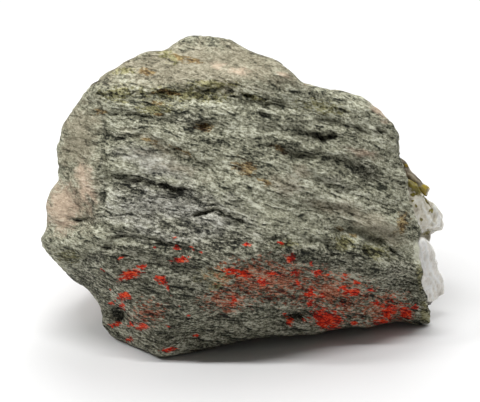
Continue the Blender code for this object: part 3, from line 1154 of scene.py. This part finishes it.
@dataclass
class HostRock:
    """The foliated rock: a fine mesh over its solid, with leaves, seams and pits, and its colour marks,
    painted shade and highlights among them.
    """

    finish: RockFinish = field(default_factory=RockFinish)
    step: float = 0.86
    wear: int = 2
    leaves: tuple[Leaves, ...] = (
        Leaves(3.3, 0.50, 8.0, 0.55, 0.16, 11),
        Leaves(1.7, 0.32, 5.0, 0.50, 0.22, 23),
        Leaves(1.0, 0.16, 3.4, 0.50, 0.35, 37),
    )
    seams: tuple[Seam, ...] = (
        Seam(((-36, 66), (-30, 65.6), (-26, 67), (-19, 66.4), (-15, 67.6), (-9, 67), (-4, 68.4)), 0.5, 1.4),
        Seam(((-5, 66.2), (0, 65.2), (5, 64), (10, 64.4)), 0.45, 1.2),
        Seam(((-36, 62.4), (-25, 61.6), (-18, 60)), 0.7, 1.8),
        Seam(((-31, 59), (-24, 56.4), (-17, 52.4), (-9, 49)), 0.32, 2.2),
        Seam(((-35, 57), (-31, 56), (-27, 56.6)), 0.9, 1.5),
        Seam(((-33, 47), (-29, 46)), 0.35, 1.4),
        Seam(((-26.5, 45.2), (-22.5, 44.7), (-18.6, 43.7), (-15.2, 43)), 1.1, 1.5),
        Seam(((-18, 42.4), (-15.6, 41.2), (-12.2, 40), (-8, 39)), 1.0, 1.1),
        Seam(((-26, 42.2), (-20, 41.4), (-16.4, 40.6)), 0.9, 1.2),
        Seam(((-11.6, 37.0), (-8.6, 37.5), (-5.4, 36.8), (-1.6, 35.4)), 1.7, 0.9),
        Seam(((-32, 30.6), (-26, 30.8), (-21, 29.8), (-16, 28.6)), 0.8, 1.3),
        Seam(((15, 57.6), (18.5, 56.4), (22.5, 56.2)), 0.9, 0.9),
        Seam(((20, 60.4), (26, 58.8), (31, 57)), 0.8, 1.4),
        Seam(((6, 54), (13, 52.2), (18, 51)), 0.9, 1.4),
        Seam(((26, 50.6), (30.5, 47.4), (35, 44.8)), 0.6, 3.0),
        Seam(((18, 46.6), (23.5, 42.2), (28, 43.4)), 0.6, 1.8),
        Seam(((24.5, 33.2), (29, 32.6), (34, 30), (38.5, 26.6)), 1.0, 1.8),
        Seam(((8, 31), (15, 31.6), (21, 29.6)), 0.8, 1.5),
        Seam(((22, 38.6), (27, 36.8)), 0.7, 1.0),
        Seam(((-41.5, 25), (-38, 27), (-34.6, 28.4)), 0.6, 1.8),
        Seam(((10.6, 11.6), (15, 12)), 1.4, 0.9),
        Seam(((-32, 9.4), (-24, 7), (-14, 6.4)), 0.7, 1.5),
        Seam(((-43.6, 35.6), (-42, 35.2), (-40.4, 35.4)), 1.3, 0.7),
        Seam(((-35.4, 41), (-35.0, 46), (-35.3, 52), (-35.0, 57), (-36, 62)), 0.7, 0.8),
        Seam(((-42.0, 38), (-44.0, 44), (-44.6, 50)), 0.6, 0.7),
    )
    pits: tuple[Patch, ...] = patches(
        (-10.2, 58.4, 2.3, 1.3, -12, 0.75), (-8, 65.9, 0.9, 0.45, 0, 0.6), (-13.5, 68, 1.2, 0.4, 0, 0.5),
        (1, 65.6, 1.5, 0.5, -10, 0.8), (5.4, 65.2, 1.5, 0.5, -8, 0.5), (5.4, 61, 2, 0.6, -14, 0.75),
        (18.4, 56.1, 2.2, 0.45, -10, 0.6), (-18.5, 66.8, 0.8, 0.35, -10, 0.6),
        (-24, 63.6, 1.1, 0.35, -8, 0.7), (-3.4, 67.4, 1, 0.5, -10, 0.8), (46.2, 8.8, 1.6, 1.4, 0, -0.8),
        (34.4, 57.5, 1.5, 0.55, -24, 0.8), (27, 33.2, 1.4, 0.4, 0, 0.8), (37.4, 27.2, 1.4, 0.45, -12, 0.9),
        (22.8, 26.6, 0.9, 0.6, 0, 0.8), (31, 27, 1.6, 1, -30, 0.6), (24.8, 29.4, 1.8, 1.1, 0, 0.6),
        (-31.6, 10.6, 1.3, 1.5, -25, 1.4), (13, 10.8, 2, 0.9, -8, 1.2), (40.8, 19.8, 2.6, 1.2, -14, 0.4),
        (41.4, 16.8, 2, 0.8, -14, 0.4), (-38, 35, 1.6, 3, 20, 0.5), (-36, 65.8, 1.2, 0.9, 0, 0.6),
    )
    red: tuple[Patch, ...] = patches(
        (-17.5, 30.5, 0.7, 0.44, 0, 0.45), (-16.8, 28, 0.88, 0.53, 0, 0.9),
        (-13.2, 27.8, 0.7, 0.53, 0, 0.85), (-22.5, 28.2, 0.53, 0.35, 0, 0.4),
        (-30.8, 25.5, 0.79, 0.53, 0, 0.55), (-35.2, 22.5, 0.53, 0.44, 0, 0.6),
        (-28.5, 21.5, 2.46, 0.97, 18), (-25.2, 23.2, 0.88, 0.53, 35, 0.9), (-16, 25, 1.94, 0.7, 0, 0.95),
        (-20.8, 20.2, 1.41, 0.88, -28), (-19, 18, 0.44, 1.06, 0, 0.8), (-18, 16, 0.44, 0.44, 0, 0.6),
        (-33.5, 17.5, 0.53, 0.44, 0, 0.5), (-29.8, 16, 1.76, 0.79, 8), (-33, 14.2, 0.53, 0.53, 0, 0.9),
        (-30.5, 13.5, 0.7, 0.7), (-16.2, 13.5, 0.53, 0.35, 0, 0.6), (-32, 8.8, 1.94, 0.44, 0, 0.9),
        (-28.2, 9, 0.7, 0.53, 0, 0.8), (-25.8, 8.2, 1.32, 0.88, 0, 0.95), (-14, 10.8, 0.7, 0.44, 0, 0.4),
        (-19, 8.5, 0.79, 0.35, 0, 0.45), (-28.8, 5.2, 1.32, 0.7, 0, 0.35), (-12, 5.8, 0.57, 0.47, 0, 0.9),
        (-19, 2.5, 1.67, 0.44, 3), (-10.5, 26.8, 0.57, 0.47, 0, 0.4), (-2.8, 22.2, 2.38, 0.76, -6, 0.85),
        (-0.2, 20.8, 1.42, 0.57, -20, 0.8), (-2.8, 14.8, 1.42, 1.14, 0, 0.55),
        (0.5, 29, 1.04, 0.47, 0, 0.9), (9.2, 29.2, 0.81, 0.41, 0, 0.85), (11.5, 25.5, 1.21, 1.01, 25),
        (16.8, 24.2, 0.6, 0.6, 0, 0.7), (0, 21, 1.8, 0.85, -15, 0.85), (4.5, 19.5, 1.14, 0.95),
        (8, 21.5, 1.92, 1.01, 0, 0.5), (12.8, 21.8, 0.91, 0.6, 0, 0.7), (13.5, 19, 1.01, 1.01, 0, 0.7),
        (18.2, 21.8, 1.11, 0.81), (21.2, 21.8, 0.6, 0.5, 0, 0.75), (25.2, 20.5, 0.81, 0.6, 0, 0.8),
        (28, 19.2, 0.81, 0.6, 0, 0.8), (24.8, 17.8, 1.11, 0.91, 0, 0.95), (27, 16.8, 1.82, 1.01, -10),
        (16.5, 16.8, 1.11, 0.91), (16.5, 14.2, 1.01, 1.01, 0, 0.8), (19.8, 15.8, 0.81, 0.6, 0, 0.8),
        (31.8, 17.5, 0.91, 1.01, 0, 0.75), (33.2, 14.2, 0.81, 0.6, 0, 0.8), (36, 12, 1.57, 2.02, -20),
        (34, 9.8, 1.61, 0.81, 12), (21, 10.2, 3.25, 2.24, -12), (19, 11.5, 1.21, 0.91, 0, 0.9),
        (27.2, 9.2, 0.81, 0.5, 0, 0.85), (11.5, 9.8, 0.91, 0.81, 0, 0.95), (15.2, 10, 0.91, 0.6, 0, 0.5),
        (10.2, 11.2, 0.81, 0.5, 0, 0.5), (24.5, 14.2, 0.91, 0.6, 0, 0.45), (40.4, 11.5, 1.34, 1.68, 25),
        (43, 13, 1.01, 0.45, 10, 0.85), (37.5, 15.8, 0.9, 0.56, 0, 0.5),
    )
    haze: tuple[Patch, ...] = patches(
        (6, 20, 11, 4.6, -4, 0.62), (21, 17, 11, 5, -8, 0.52), (-4, 15, 6, 3, 0, 0.5),
        (-24, 12, 6, 5, 0, -0.1), (35, 12.4, 6.5, 4.4, 0, 0.5),
    )
    pink: tuple[Patch, ...] = patches(
        (-45.4, 38.2, 4, 5.4, -8), (-39.2, 42, 1.9, 5.4, 10, 0.85), (-40, 47, 2.6, 3, 0, 0.45),
        (34.4, 62.4, 1.5, 3.2, 50, 0.9), (9.6, 70.8, 2.4, 1.2, -15, 0.4), (-6, 73.8, 3.8, 1.2, -6, 0.12),
        (-1, 72.4, 5, 1.4, 0, 0.15), (30, 51.5, 5, 1.3, -14, 0.35),
    )
    tan: tuple[Patch, ...] = patches(
        (-12, 73.5, 30, 5.8), (-41, 55, 5, 10, 0, 0.85), (-22, 54, 9, 1.3, -24, 0.8),
        (-40, 42, 4.5, 10, 0, 0.7), (34, 33, 7, 3.2, -28, 0.85), (10, 44, 9, 4, -18, 0.3),
        (14.5, 47, 3, 2, -30, 0.7), (30, 51.5, 6, 1.8, -14, 0.6), (24, 38, 14, 3.6, -16, 0.3),
        (-16, 48, 12, 2.5, -20, 0.35),
    )
    olive: tuple[Patch, ...] = patches(
        (-16, 66.4, 16, 1.7, -2, 0.62), (-29.5, 72.2, 3.2, 0.8, 8, 0.9), (-8, 68.8, 7, 0.8, 0, 0.8),
        (-18.8, 76, 2.8, 1.4, -30, 0.85), (-35.6, 66.2, 1.4, 1.1), (2, 65.6, 4, 1, -8, 0.6),
        (-22, 63, 6, 1.6, 0, 0.6), (25, 29.6, 3, 2, 0, 0.6), (10, 28.8, 4, 1.2, 0, 0.6),
        (-7, 18.6, 1.6, 1.3), (-5, 21, 6, 2.6, 0, 0.55), (20, 63, 8, 2, -12, 0.4),
        (33, 27, 4, 2.5, -30, 0.5), (45.2, 12, 1.4, 2.6, 0, 0.8), (43.9, 20.8, 0.9, 3.2, 6, 0.9),
        (-31, 66.4, 3.6, 2.2, 0, 0.75), (-44, 26, 4, 2.5, 0, 0.35),
    )
    rust: tuple[Patch, ...] = patches(
        (-24.2, 72, 2, 0.6), (-12.8, 74.8, 2.6, 0.5, -10, 0.95), (-16.6, 75.6, 1.6, 0.6, -35, 0.9),
        (-10.2, 58, 1.6, 0.9, -10, 0.95), (-23.8, 54.6, 2, 0.45, -14, 0.9), (-15.5, 52, 3, 0.4, -24, 0.8),
        (0.4, 48.2, 2.6, 1.4, -24, 1.05), (5, 44.8, 1.7, 0.8, -30, 0.95), (8.6, 53, 2.2, 0.7, -20, 0.85),
        (39.6, 33.8, 1.5, 2.6, -20, 0.85), (-20, 66.8, 3.4, 0.5, 0, 0.85), (-21.5, 64.2, 2.4, 0.5, -6, 0.8),
        (-21, 61.8, 1.4, 0.5, 0, 0.8), (-36, 62, 2, 1, 0, 0.5), (24, 33, 1.6, 0.6, -20, 0.6),
        (27.5, 31, 1.6, 0.5, -20, 0.7),
    )
    # Pale rock, and painted highlights along lit ridges and along the rock's rims by the crystals.
    pale: tuple[Patch, ...] = patches(
        (0, 40.7, 2.2, 0.5, -28, 2.2), (3, 38.9, 1.5, 0.4, -28, 2.4), (-20, 53.4, 7, 0.8, -24, 0.7),
        (22, 61, 14, 3.2, -16, 0.5), (14, 43, 5.5, 5, -10, 0.8), (32, 35.6, 7, 4.4, -22, 0.7),
        (7, 66, 5, 2.4, -10, 0.45), (-6, 21, 6, 3.2, 0, 0.35), (18, 38.4, 15, 5, -14, 0.5),
        (37, 29, 6, 3.4, -20, 0.45), (-15, 48, 7, 4, -20, 0.45), (25.6, 42.6, 2.4, 0.35, 14, 0.8),
        (-10, 36, 5, 0.5, -12, 0.6), (41.3, 41.6, 0.45, 3, 8, 0.9), (43.5, 26.6, 0.9, 2.4, 0, 5),
        (43.4, 34.8, 0.5, 3.4, 30), (-41.5, 24.2, 2.6, 0.4, 34, 1.2), (-37, 27.4, 3.4, 0.4, 26, 1.4),
        (19, 45.6, 5, 0.3, -40, 1.7), (45.6, 11.2, 0.7, 1.1, 0, 1.6), (43.6, 11.8, 0.5, 0.8, 0, 1.5),
        (45.7, 14, 0.8, 0.6, 0, 1.5),
    )
    # Painted shade in seams, pits, creases, crevices by the crystals and under the rock's foot, with some
    # darker rock.
    shade_and_dark: tuple[Patch, ...] = patches(
        (-19.5, 43, 6, 1.2, -20, 0.8), (-6, 36.9, 4.4, 0.5, -18, 1.1), (30.5, 47.4, 4.5, 2.2, -34, 0.85),
        (23, 44.8, 3.6, 1.6, -38, 0.8), (-31, 56.2, 3.6, 1.2, -8, 0.8), (38.6, 20.6, 5, 4.2, -20, 1.2),
        (19.4, 55.9, 3.2, 0.7, -6, 0.9), (-31.6, 10.6, 1.5, 1.5, 0, 1.2), (13.2, 10.4, 3.4, 2.2, 0, 1.15),
        (-14, 60.2, 6, 2.8, -10, 0.7), (-18.5, 34, 9, 2.8, -10, 0.75), (-29, 42.6, 4, 1.6, -10, 0.7),
        (-4, 29.6, 9, 2, 0, 0.9), (-38.5, 20.5, 5, 3.6, -30, 0.95), (-32, 14, 4, 4, 0, 0.7),
        (21, 15.5, 4, 2.6, 0, 0.8), (-16, 3, 7, 1.8), (-28, 25, 8, 3, -4, 0.7), (-37, 25.4, 5, 0.9, 24),
        (-35.2, 57.6, 0.5, 4.2, 8, 0.8), (-36, 49.6, 0.6, 4.4, -7, 0.8), (-35.2, 41.8, 0.8, 3.6, 9, 0.85),
        (-42, 35.2, 2, 0.4, 4, 1.1), (-38.2, 38.6, 1, 2.6, 20, 0.9), (1.6, 65.6, 2.8, 0.6, -8, 0.7),
    )
    ash: tuple[Patch, ...] = patches((-18, 36.5, 16, 7, -12), (-21, 49, 11, 3.4, -20, 0.7))
    calm: tuple[Patch, ...] = patches(
        (-8, 74.5, 26, 4.6), (-41, 54, 4.5, 9), (-46, 38, 3.4, 5.6, -8), (33, 32.4, 6.5, 3, -28, 0.8),
        (-23, 50, 9, 2.2, -20, 0.7), (8, 36, 9, 3, -16, 0.6),
    )
    rough: tuple[Patch, ...] = patches(
        (-8, 64.5, 26, 3.6, -2), (24, 57, 15, 6, -12, 0.9), (28, 30, 9, 2.4, -25, 0.8),
    )
    # The fold between the upper face and the lower band, which faces down; painted shade lies below it.
    fold: Path = (
        (-60, 20), (-46, 22.6), (-41, 25), (-34.5, 28.3), (-28, 30), (-17, 30.4), (-4, 30.6), (4, 30.8),
        (14, 29.6), (24, 29.0), (31, 26.5), (36, 25.6), (41, 25.6), (43, 20), (60, 20),
    )
    calm_leaves: float = 0.55
    rough_leaves: float = 0.3
    crumbs: float = 0.15
    calm_crumbs: float = 0.07
    rough_crumbs: float = 0.22
    # How strong the painted shade on the downward-facing lower band is.
    band_painted_shade: float = 0.60
    seam_share: float = 0.75
    pit_share: float = 1.4
    # How deep a hollow must be to get the full painted shade.
    hollow_shade_depth: float = 1.1

    def build(self, node: bpy.types.Object) -> bpy.types.Object:
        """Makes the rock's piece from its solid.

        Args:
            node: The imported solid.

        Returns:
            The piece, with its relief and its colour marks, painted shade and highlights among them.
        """
        piece = solid_copy(node, "rock_body")
        even_mesh(piece, self.step, self.wear)
        refine_front(piece, 0.12)
        self.carve(piece.data)
        return piece

    def carve(self, mesh: bpy.types.Mesh) -> None:
        """Moves the surface in and out, and keeps the colour marks on the mesh, painted shade in the hollows
        among them.

        Args:
            mesh: The rock's even mesh.
        """
        points, ways = coordinates(mesh), outward(mesh)
        front = smooth_step(ways @ np.array(SIGHT.near), -0.1, 0.15)
        seen = SIGHT.seen(points)
        wavy = seen + shake(points / 4.0, (71, 83)) * 0.75
        relief = self.relief(points, wavy, front)
        grip = smooth_step(points[:, 2], 0.0, 1.5)
        place(mesh, points + ways * (relief * grip)[:, None])
        self.stain_and_shade(mesh, points, seen, wavy, front)
        # Painted shade in hollows, as deep as the relief sets the surface back.
        mark(mesh, StainAndShade.HOLLOW_SHADE.value, np.clip(-relief / self.hollow_shade_depth, 0.0, 1.0))
        mesh.shade_smooth()

    def relief(self, points: np.ndarray, wavy: np.ndarray, front: np.ndarray) -> np.ndarray:
        """How far the surface stands out.

        Args:
            points: Places on the surface.
            wavy: Where they are seen, with a little irregularity.
            front: How much each looks to the front, from 0 to 1.

        Returns:
            A height for each point.
        """
        calm = strongest(self.calm, wavy)
        rough = strongest(self.rough, wavy)
        strength = 1.0 - self.calm_leaves * calm * front + self.rough_leaves * rough * front
        total = sum(one.stand(points) for one in self.leaves) * strength
        crumbs = self.crumbs + self.rough_crumbs * rough * front - self.calm_crumbs * calm * front
        total += crumble(points / 1.7, 53, 3) * crumbs
        broken = np.clip(1.0 + crumble(points / 3.5, 61, 2) * 0.7, 0.45, 1.7)
        total -= sum(seam.drop(wavy, broken) for seam in self.seams) * front * self.seam_share
        total -= sum(pit.dip(wavy) for pit in self.pits) * front * self.pit_share
        return total

    def stain_and_shade(
        self,
        mesh: bpy.types.Mesh,
        points: np.ndarray,
        seen: np.ndarray,
        wavy: np.ndarray,
        front: np.ndarray,
    ) -> None:
        """Keeps the colour marks on the mesh: real colours, painted shade, and pale rock with painted
        highlights.

        Args:
            mesh: The rock's mesh.
            points: Places on the surface.
            seen: Where they are seen.
            wavy: The same, with a little irregularity.
            front: How much each looks to the front, from 0 to 1.
        """
        rear = 1.0 - front
        waves = crumble(points / 5.0, 97)
        frayed = seen + shake(points / 1.7, (131, 149)) * 0.55
        # For each stain: its patches, how they are seen, and the span and level of it on hidden sides
        places = {
            StainAndShade.RED: (self.red, frayed, 9.0, 0.10),
            StainAndShade.HAZE: (self.haze, wavy, 14.0, 0.12),
            StainAndShade.PINK: (self.pink, wavy, 12.0, 0.30),
            StainAndShade.TAN: (self.tan, wavy, 15.0, 0.50),
            StainAndShade.OLIVE: (self.olive, wavy, 9.0, 0.34),
            StainAndShade.RUST: (self.rust, wavy, 7.0, 0.30),
            StainAndShade.SHADE_AND_DARK: (self.shade_and_dark, wavy, 11.0, 0.34),
            StainAndShade.ASH: (self.ash, wavy, 13.0, 0.30),
        }
        for i, (stain_and_shade, (spots, view, span, level)) in enumerate(places.items()):
            shown = strongest(spots, view)
            unseen = np.clip(level + 0.5 * crumble(points / span, 200 + 13 * i, 2), 0.0, 1.0)
            # Painted shade below the fold, where the band faces down, and in every pit.
            if stain_and_shade is StainAndShade.SHADE_AND_DARK:
                under = smooth_step(beside(view, self.fold)[0] + 0.5 * waves, -0.4, 1.1) * self.band_painted_shade
                pit_shade = np.max([pit.dip(view) for pit in self.pits], axis=0)
                shown = np.max([shown, under, pit_shade], axis=0)
            mark(mesh, stain_and_shade.value, shown * front + unseen * rear)
        calm = strongest(self.calm, wavy)
        mark(mesh, StainAndShade.CALM.value, calm * front + 0.2 * rear)
        # Pale rock and painted ridge highlights, on the front only.
        lines = np.max([patch.strength * np.exp(-(patch.reach(wavy) ** 2)) for patch in self.pale], axis=0)
        mark(mesh, StainAndShade.PALE_AND_HIGHLIGHT.value, lines * front)

    def dress(self, piece: bpy.types.Object, effects: Effects) -> None:
        """Gives the piece its finish, hangs it under the root body and hides its solid.

        Args:
            piece: The rock's piece.
            effects: The shared node groups.
        """
        piece.data.materials.clear()
        piece.data.materials.append(self.finish.material(effects))
        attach(piece, "root")
        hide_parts("host_rock")


# ===== The crystals =====


@dataclass
class Crystal:
    """A crystal group: a fine mesh over its solid, with cleavage steps across its flat faces, raised rims
    with painted glints along its ridges, and coloured patches, some of them painted shade under overhangs.
    """

    node: str
    name: str
    finish: MilkyFinish
    across: tuple[float, float, float]
    stains_and_shade: tuple[Patch, ...]
    ridges: tuple[Path, ...]
    spacing: float = 2.4
    height: float = 0.42
    swell: float = 0.14
    rim_width: float = 0.34
    rim_height: float = 0.22
    step: float = 0.24
    seed: int = 5
    bulges: tuple[Patch, ...] = ()

    def build(self, node: bpy.types.Object) -> bpy.types.Object:
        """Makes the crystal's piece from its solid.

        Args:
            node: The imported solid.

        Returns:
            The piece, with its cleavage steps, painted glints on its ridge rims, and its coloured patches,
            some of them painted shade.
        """
        piece = solid_copy(node, self.name)
        even_mesh(piece, self.step, 1)
        mesh = piece.data
        points, ways = coordinates(mesh), outward(mesh)
        stand = self.steps(points)
        seen = SIGHT.seen(points) + shake(points / 1.3, (31, 47)) * 0.3
        stand = stand + sum(bulge.dip(seen) for bulge in self.bulges)
        away = np.min([beside(seen, path)[1] for path in self.ridges], axis=0)
        rims = np.exp(-((away / self.rim_width) ** 2))
        stand = stand + rims * self.rim_height
        place(mesh, points + ways * (stand + self.swell)[:, None])
        # Coloured patches, some of them painted shade under overhangs.
        mark(mesh, "stained_and_shaded", strongest(self.stains_and_shade, seen))
        # Painted glints along the ridge rims.
        mark(mesh, "painted_ridge_glint", rims)
        mesh.shade_smooth()
        return piece

    def steps(self, points: np.ndarray) -> np.ndarray:
        """How far the cleavage steps stand out at each point.

        Args:
            points: Places on the surface, one to a row.

        Returns:
            A height for each point.
        """
        layer = points @ np.array(self.across) / self.spacing + crumble(points / 6.0, self.seed, 2) * 0.6
        whole = np.floor(layer)
        drawn = np.stack((whole * 3.7, points[:, 1] / 9.0, points[:, 2] / 9.0), axis=1)
        ridge = np.abs(2.0 * (layer - whole) - 1.0) - 0.5
        uneven = ridge * self.height * (0.8 + ripple(drawn, self.seed))
        return uneven + crumble(points / 2.8, self.seed + 3, 2) * 0.10

    def dress(self, piece: bpy.types.Object, effects: Effects) -> None:
        """Gives the piece its finish, hangs it under the root body and hides its solid.

        Args:
            piece: The crystal's piece.
            effects: The shared node groups.
        """
        piece.data.materials.clear()
        piece.data.materials.append(self.finish.material(effects))
        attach(piece, "root")
        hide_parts(self.node)


MILKY_WHITE = Tint((0.54, 0.48, 0.41), (0.94, 0.90, 0.82), (1.0, 0.99, 0.96))
CREAM = Tint((0.34, 0.29, 0.22), (0.74, 0.69, 0.56), (0.95, 0.94, 0.87))
# Olive stain in the cracks, also used for painted shade under the upper crystal's lump.
OLIVE_STAIN_AND_SHADE = Tint((0.045, 0.035, 0.005), (0.20, 0.165, 0.030), (0.44, 0.38, 0.10))
MUSTARD = Tint((0.04, 0.026, 0.001), (0.30, 0.205, 0.002), (0.55, 0.41, 0.010))
UMBER = Tint((0.020, 0.014, 0.007), (0.120, 0.092, 0.055), (0.34, 0.29, 0.20))
# Painted shade: the dark smoky tint under the lower crystal's edge.
PAINTED_UNDERSIDE_SHADE = Tint((0.05, 0.045, 0.035), (0.16, 0.145, 0.115), (0.40, 0.38, 0.32))

CRYSTALS = (
    Crystal(
        "lower_crystal",
        "lower_milky_crystal",
        MilkyFinish("milky crystal", MILKY_WHITE, PAINTED_UNDERSIDE_SHADE, transmission=0.08),
        across=(0.90, 0.25, 0.34),
        # Its one patch is painted shade under its lower edge.
        stains_and_shade=patches((47, 14, 2.6, 0.8, 0, 0.9)),
        ridges=(
            ((43.8, 29.5), (44.3, 27.0), (45.2, 22.0), (47.0, 19.8), (47.8, 17.6)),
            ((44.8, 30.0), (45.8, 26.0), (46.9, 21.4), (48.6, 19.4)),
            ((45.0, 17.6), (46.4, 18.6), (47.0, 15.6)),
        ),
    ),
    Crystal(
        "upper_crystal",
        "upper_cream_crystal",
        MilkyFinish("cream crystal", CREAM, OLIVE_STAIN_AND_SHADE),
        across=(0.72, 0.3, 0.52),
        spacing=2.9,
        seed=9,
        # Olive patches in its cracks; the two near a height of 32 are painted olive-brown shade under its
        # lump.
        stains_and_shade=patches(
            (42.2, 41.4, 0.7, 0.5, 0, 0.9), (42.2, 39.8, 0.5, 0.5, 0, 0.8), (43, 38.5, 0.5, 0.5, 0, 0.8),
            (46.7, 37.3, 0.6, 0.6), (45.5, 39.8, 2, 0.24, -56, 1.1), (43, 43.6, 2.8, 1.4, -38, 1.4),
            (46.6, 32.2, 2.6, 0.6, 8, 0.75), (45.2, 31.8, 1.2, 0.5, 0, 0.9), (44.2, 35, 0.5, 0.7, 0, 0.8),
            (46.4, 28.2, 1.4, 2.6, 0, 0.3), (41.4, 45.2, 1.8, 1.2, -38, 1.2),
        ),
        bulges=patches((42.2, 44.2, 2.6, 1.5, -38, 0.6)),
        ridges=(
            ((41.6, 38.2), (42.8, 35.6), (44.2, 32.6)), ((44.2, 39.6), (45.4, 36.4), (47.6, 33.8)),
            ((47.4, 38.6), (48.4, 36.0), (48.6, 33.6)),
        ),
    ),
    Crystal(
        "olive_blade",
        "olive_blade_piece",
        MilkyFinish("olive blade", UMBER, MUSTARD, transmission=0.05, roughness=0.35),
        across=(0.3, 0.2, 0.9),
        spacing=1.1,
        height=0.14,
        seed=14,
        stains_and_shade=patches(
            (45.4, 42.1, 1.8, 1.3, -35, 1.15), (43.4, 43.2, 2.2, 0.5, -42, 0.9),
            (40.4, 48.6, 0.8, 0.6, 0, 0.7),
        ),
        ridges=(((41.0, 46.8), (44.4, 43.6)), ((43.8, 43.4), (46.8, 43.0))),
    ),
)


# ===== The studio =====


@dataclass(frozen=True)
class Lamp:
    """A soft lamp: its name, place, width and depth, power in watts, and what it shines at."""

    name: str
    place: tuple[float, float, float]
    size: tuple[float, float]
    power: float
    aim: tuple[float, float, float] = (0.0, 0.0, 35.0)

    def hang(self) -> bpy.types.Object:
        """Adds the lamp to the scene.

        Returns:
            The lamp.
        """
        light = bpy.data.lights.new(self.name, "AREA")
        light.shape = "RECTANGLE"
        light.size, light.size_y = (side * MM for side in self.size)
        light.energy = self.power
        made = add_object(self.name, light)
        made.location = Vector(self.place) * MM
        towards = Vector(self.aim) - Vector(self.place)
        made.rotation_euler = towards.to_track_quat("-Z", "Y").to_euler()
        return made


@dataclass
class Studio:
    """The pale floor, the soft light and the camera."""

    floor_finish: FloorFinish = field(default_factory=FloorFinish)
    floor_half: float = 1600.0
    floor_gap: float = 0.05
    sky: float = 0.05
    lamps: tuple[Lamp, ...] = (
        Lamp("strip above, in front", (-75.0, -122.0, 482.0), (280.0, 18.0), 1.42, (-75.0, 0.0, 35.0)),
        Lamp("strip at the left", (-400.0, -104.0, 410.0), (260.0, 18.0), 1.50, (-400.0, 0.0, 35.0)),
        Lamp("above, behind", (130.0, 150.0, 470.0), (420.0, 420.0), 1.12),
        Lamp("left side", (-420.0, 110.0, 380.0), (400.0, 400.0), 0.70),
        Lamp("right side", (430.0, 100.0, 370.0), (400.0, 400.0), 0.66),
        Lamp("far floor", (0.0, 560.0, 480.0), (600.0, 600.0), 2.4, (0.0, 430.0, 0.0)),
    )

    def build_floor(self, effects: Effects) -> bpy.types.Object:
        """Makes the floor.

        Args:
            effects: The shared node groups.

        Returns:
            The floor.
        """
        mesh = bpy.data.meshes.new("floor")
        with editing(mesh) as shape:
            bmesh.ops.create_grid(shape, x_segments=8, y_segments=8, size=self.floor_half * MM)
            bmesh.ops.translate(shape, verts=shape.verts, vec=Vector((0.0, 0.0, -self.floor_gap * MM)))
        floor = add_object("floor", mesh)
        mesh.materials.append(self.floor_finish.material(effects))
        return floor

    def build_lights(self) -> None:
        """Sets up an even bright room and large soft lamps."""
        world = bpy.data.worlds.new("bright room")
        world.use_nodes = True
        tree = Tree(world.node_tree)
        output = tree.node("OutputWorld")
        room = tree.node("Background")
        tree.feed(room.inputs["Color"], (1.0, 1.0, 1.0))
        seen = tree.node("LightPath").outputs["Is Camera Ray"]
        tree.feed(room.inputs["Strength"], tree.math("MULTIPLY_ADD", seen, 1.0 - self.sky, self.sky))
        tree.feed(output.inputs["Surface"], room.outputs["Background"])
        bpy.context.scene.world = world
        for lamp in self.lamps:
            lamp.hang()

    def build_camera(self) -> bpy.types.Object:
        """Sets up the camera where the specimen is looked at from.

        Returns:
            The camera.
        """
        data = bpy.data.cameras.new("camera")
        data.lens = SIGHT.lens
        data.sensor_width = SIGHT.film
        data.clip_start = 0.01
        data.clip_end = 20.0
        camera = add_object("camera", data)
        camera.location = (SIGHT.target + SIGHT.near * SIGHT.distance) * MM
        camera.rotation_euler = (-SIGHT.near).to_track_quat("-Z", "Y").to_euler()
        bpy.context.scene.camera = camera
        return camera


def main() -> None:
    """Builds the specimen's looks and the studio around it."""
    logging.basicConfig(level=logging.INFO, format="%(name)s: %(message)s")
    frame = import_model()
    bpy.context.scene.view_settings.view_transform = "Standard"
    effects = Effects()
    studio = Studio()
    studio.build_camera()
    studio.build_lights()
    studio.build_floor(effects)
    rock = HostRock()
    piece = rock.build(frame["nodes"]["host_rock"])
    rock.dress(piece, effects)
    log.info("%s: %d faces", piece.name, len(piece.data.polygons))
    for crystal in CRYSTALS:
        piece = crystal.build(frame["nodes"][crystal.node])
        crystal.dress(piece, effects)
        log.info("%s: %d faces", piece.name, len(piece.data.polygons))


if __name__ == "__main__":
    main()
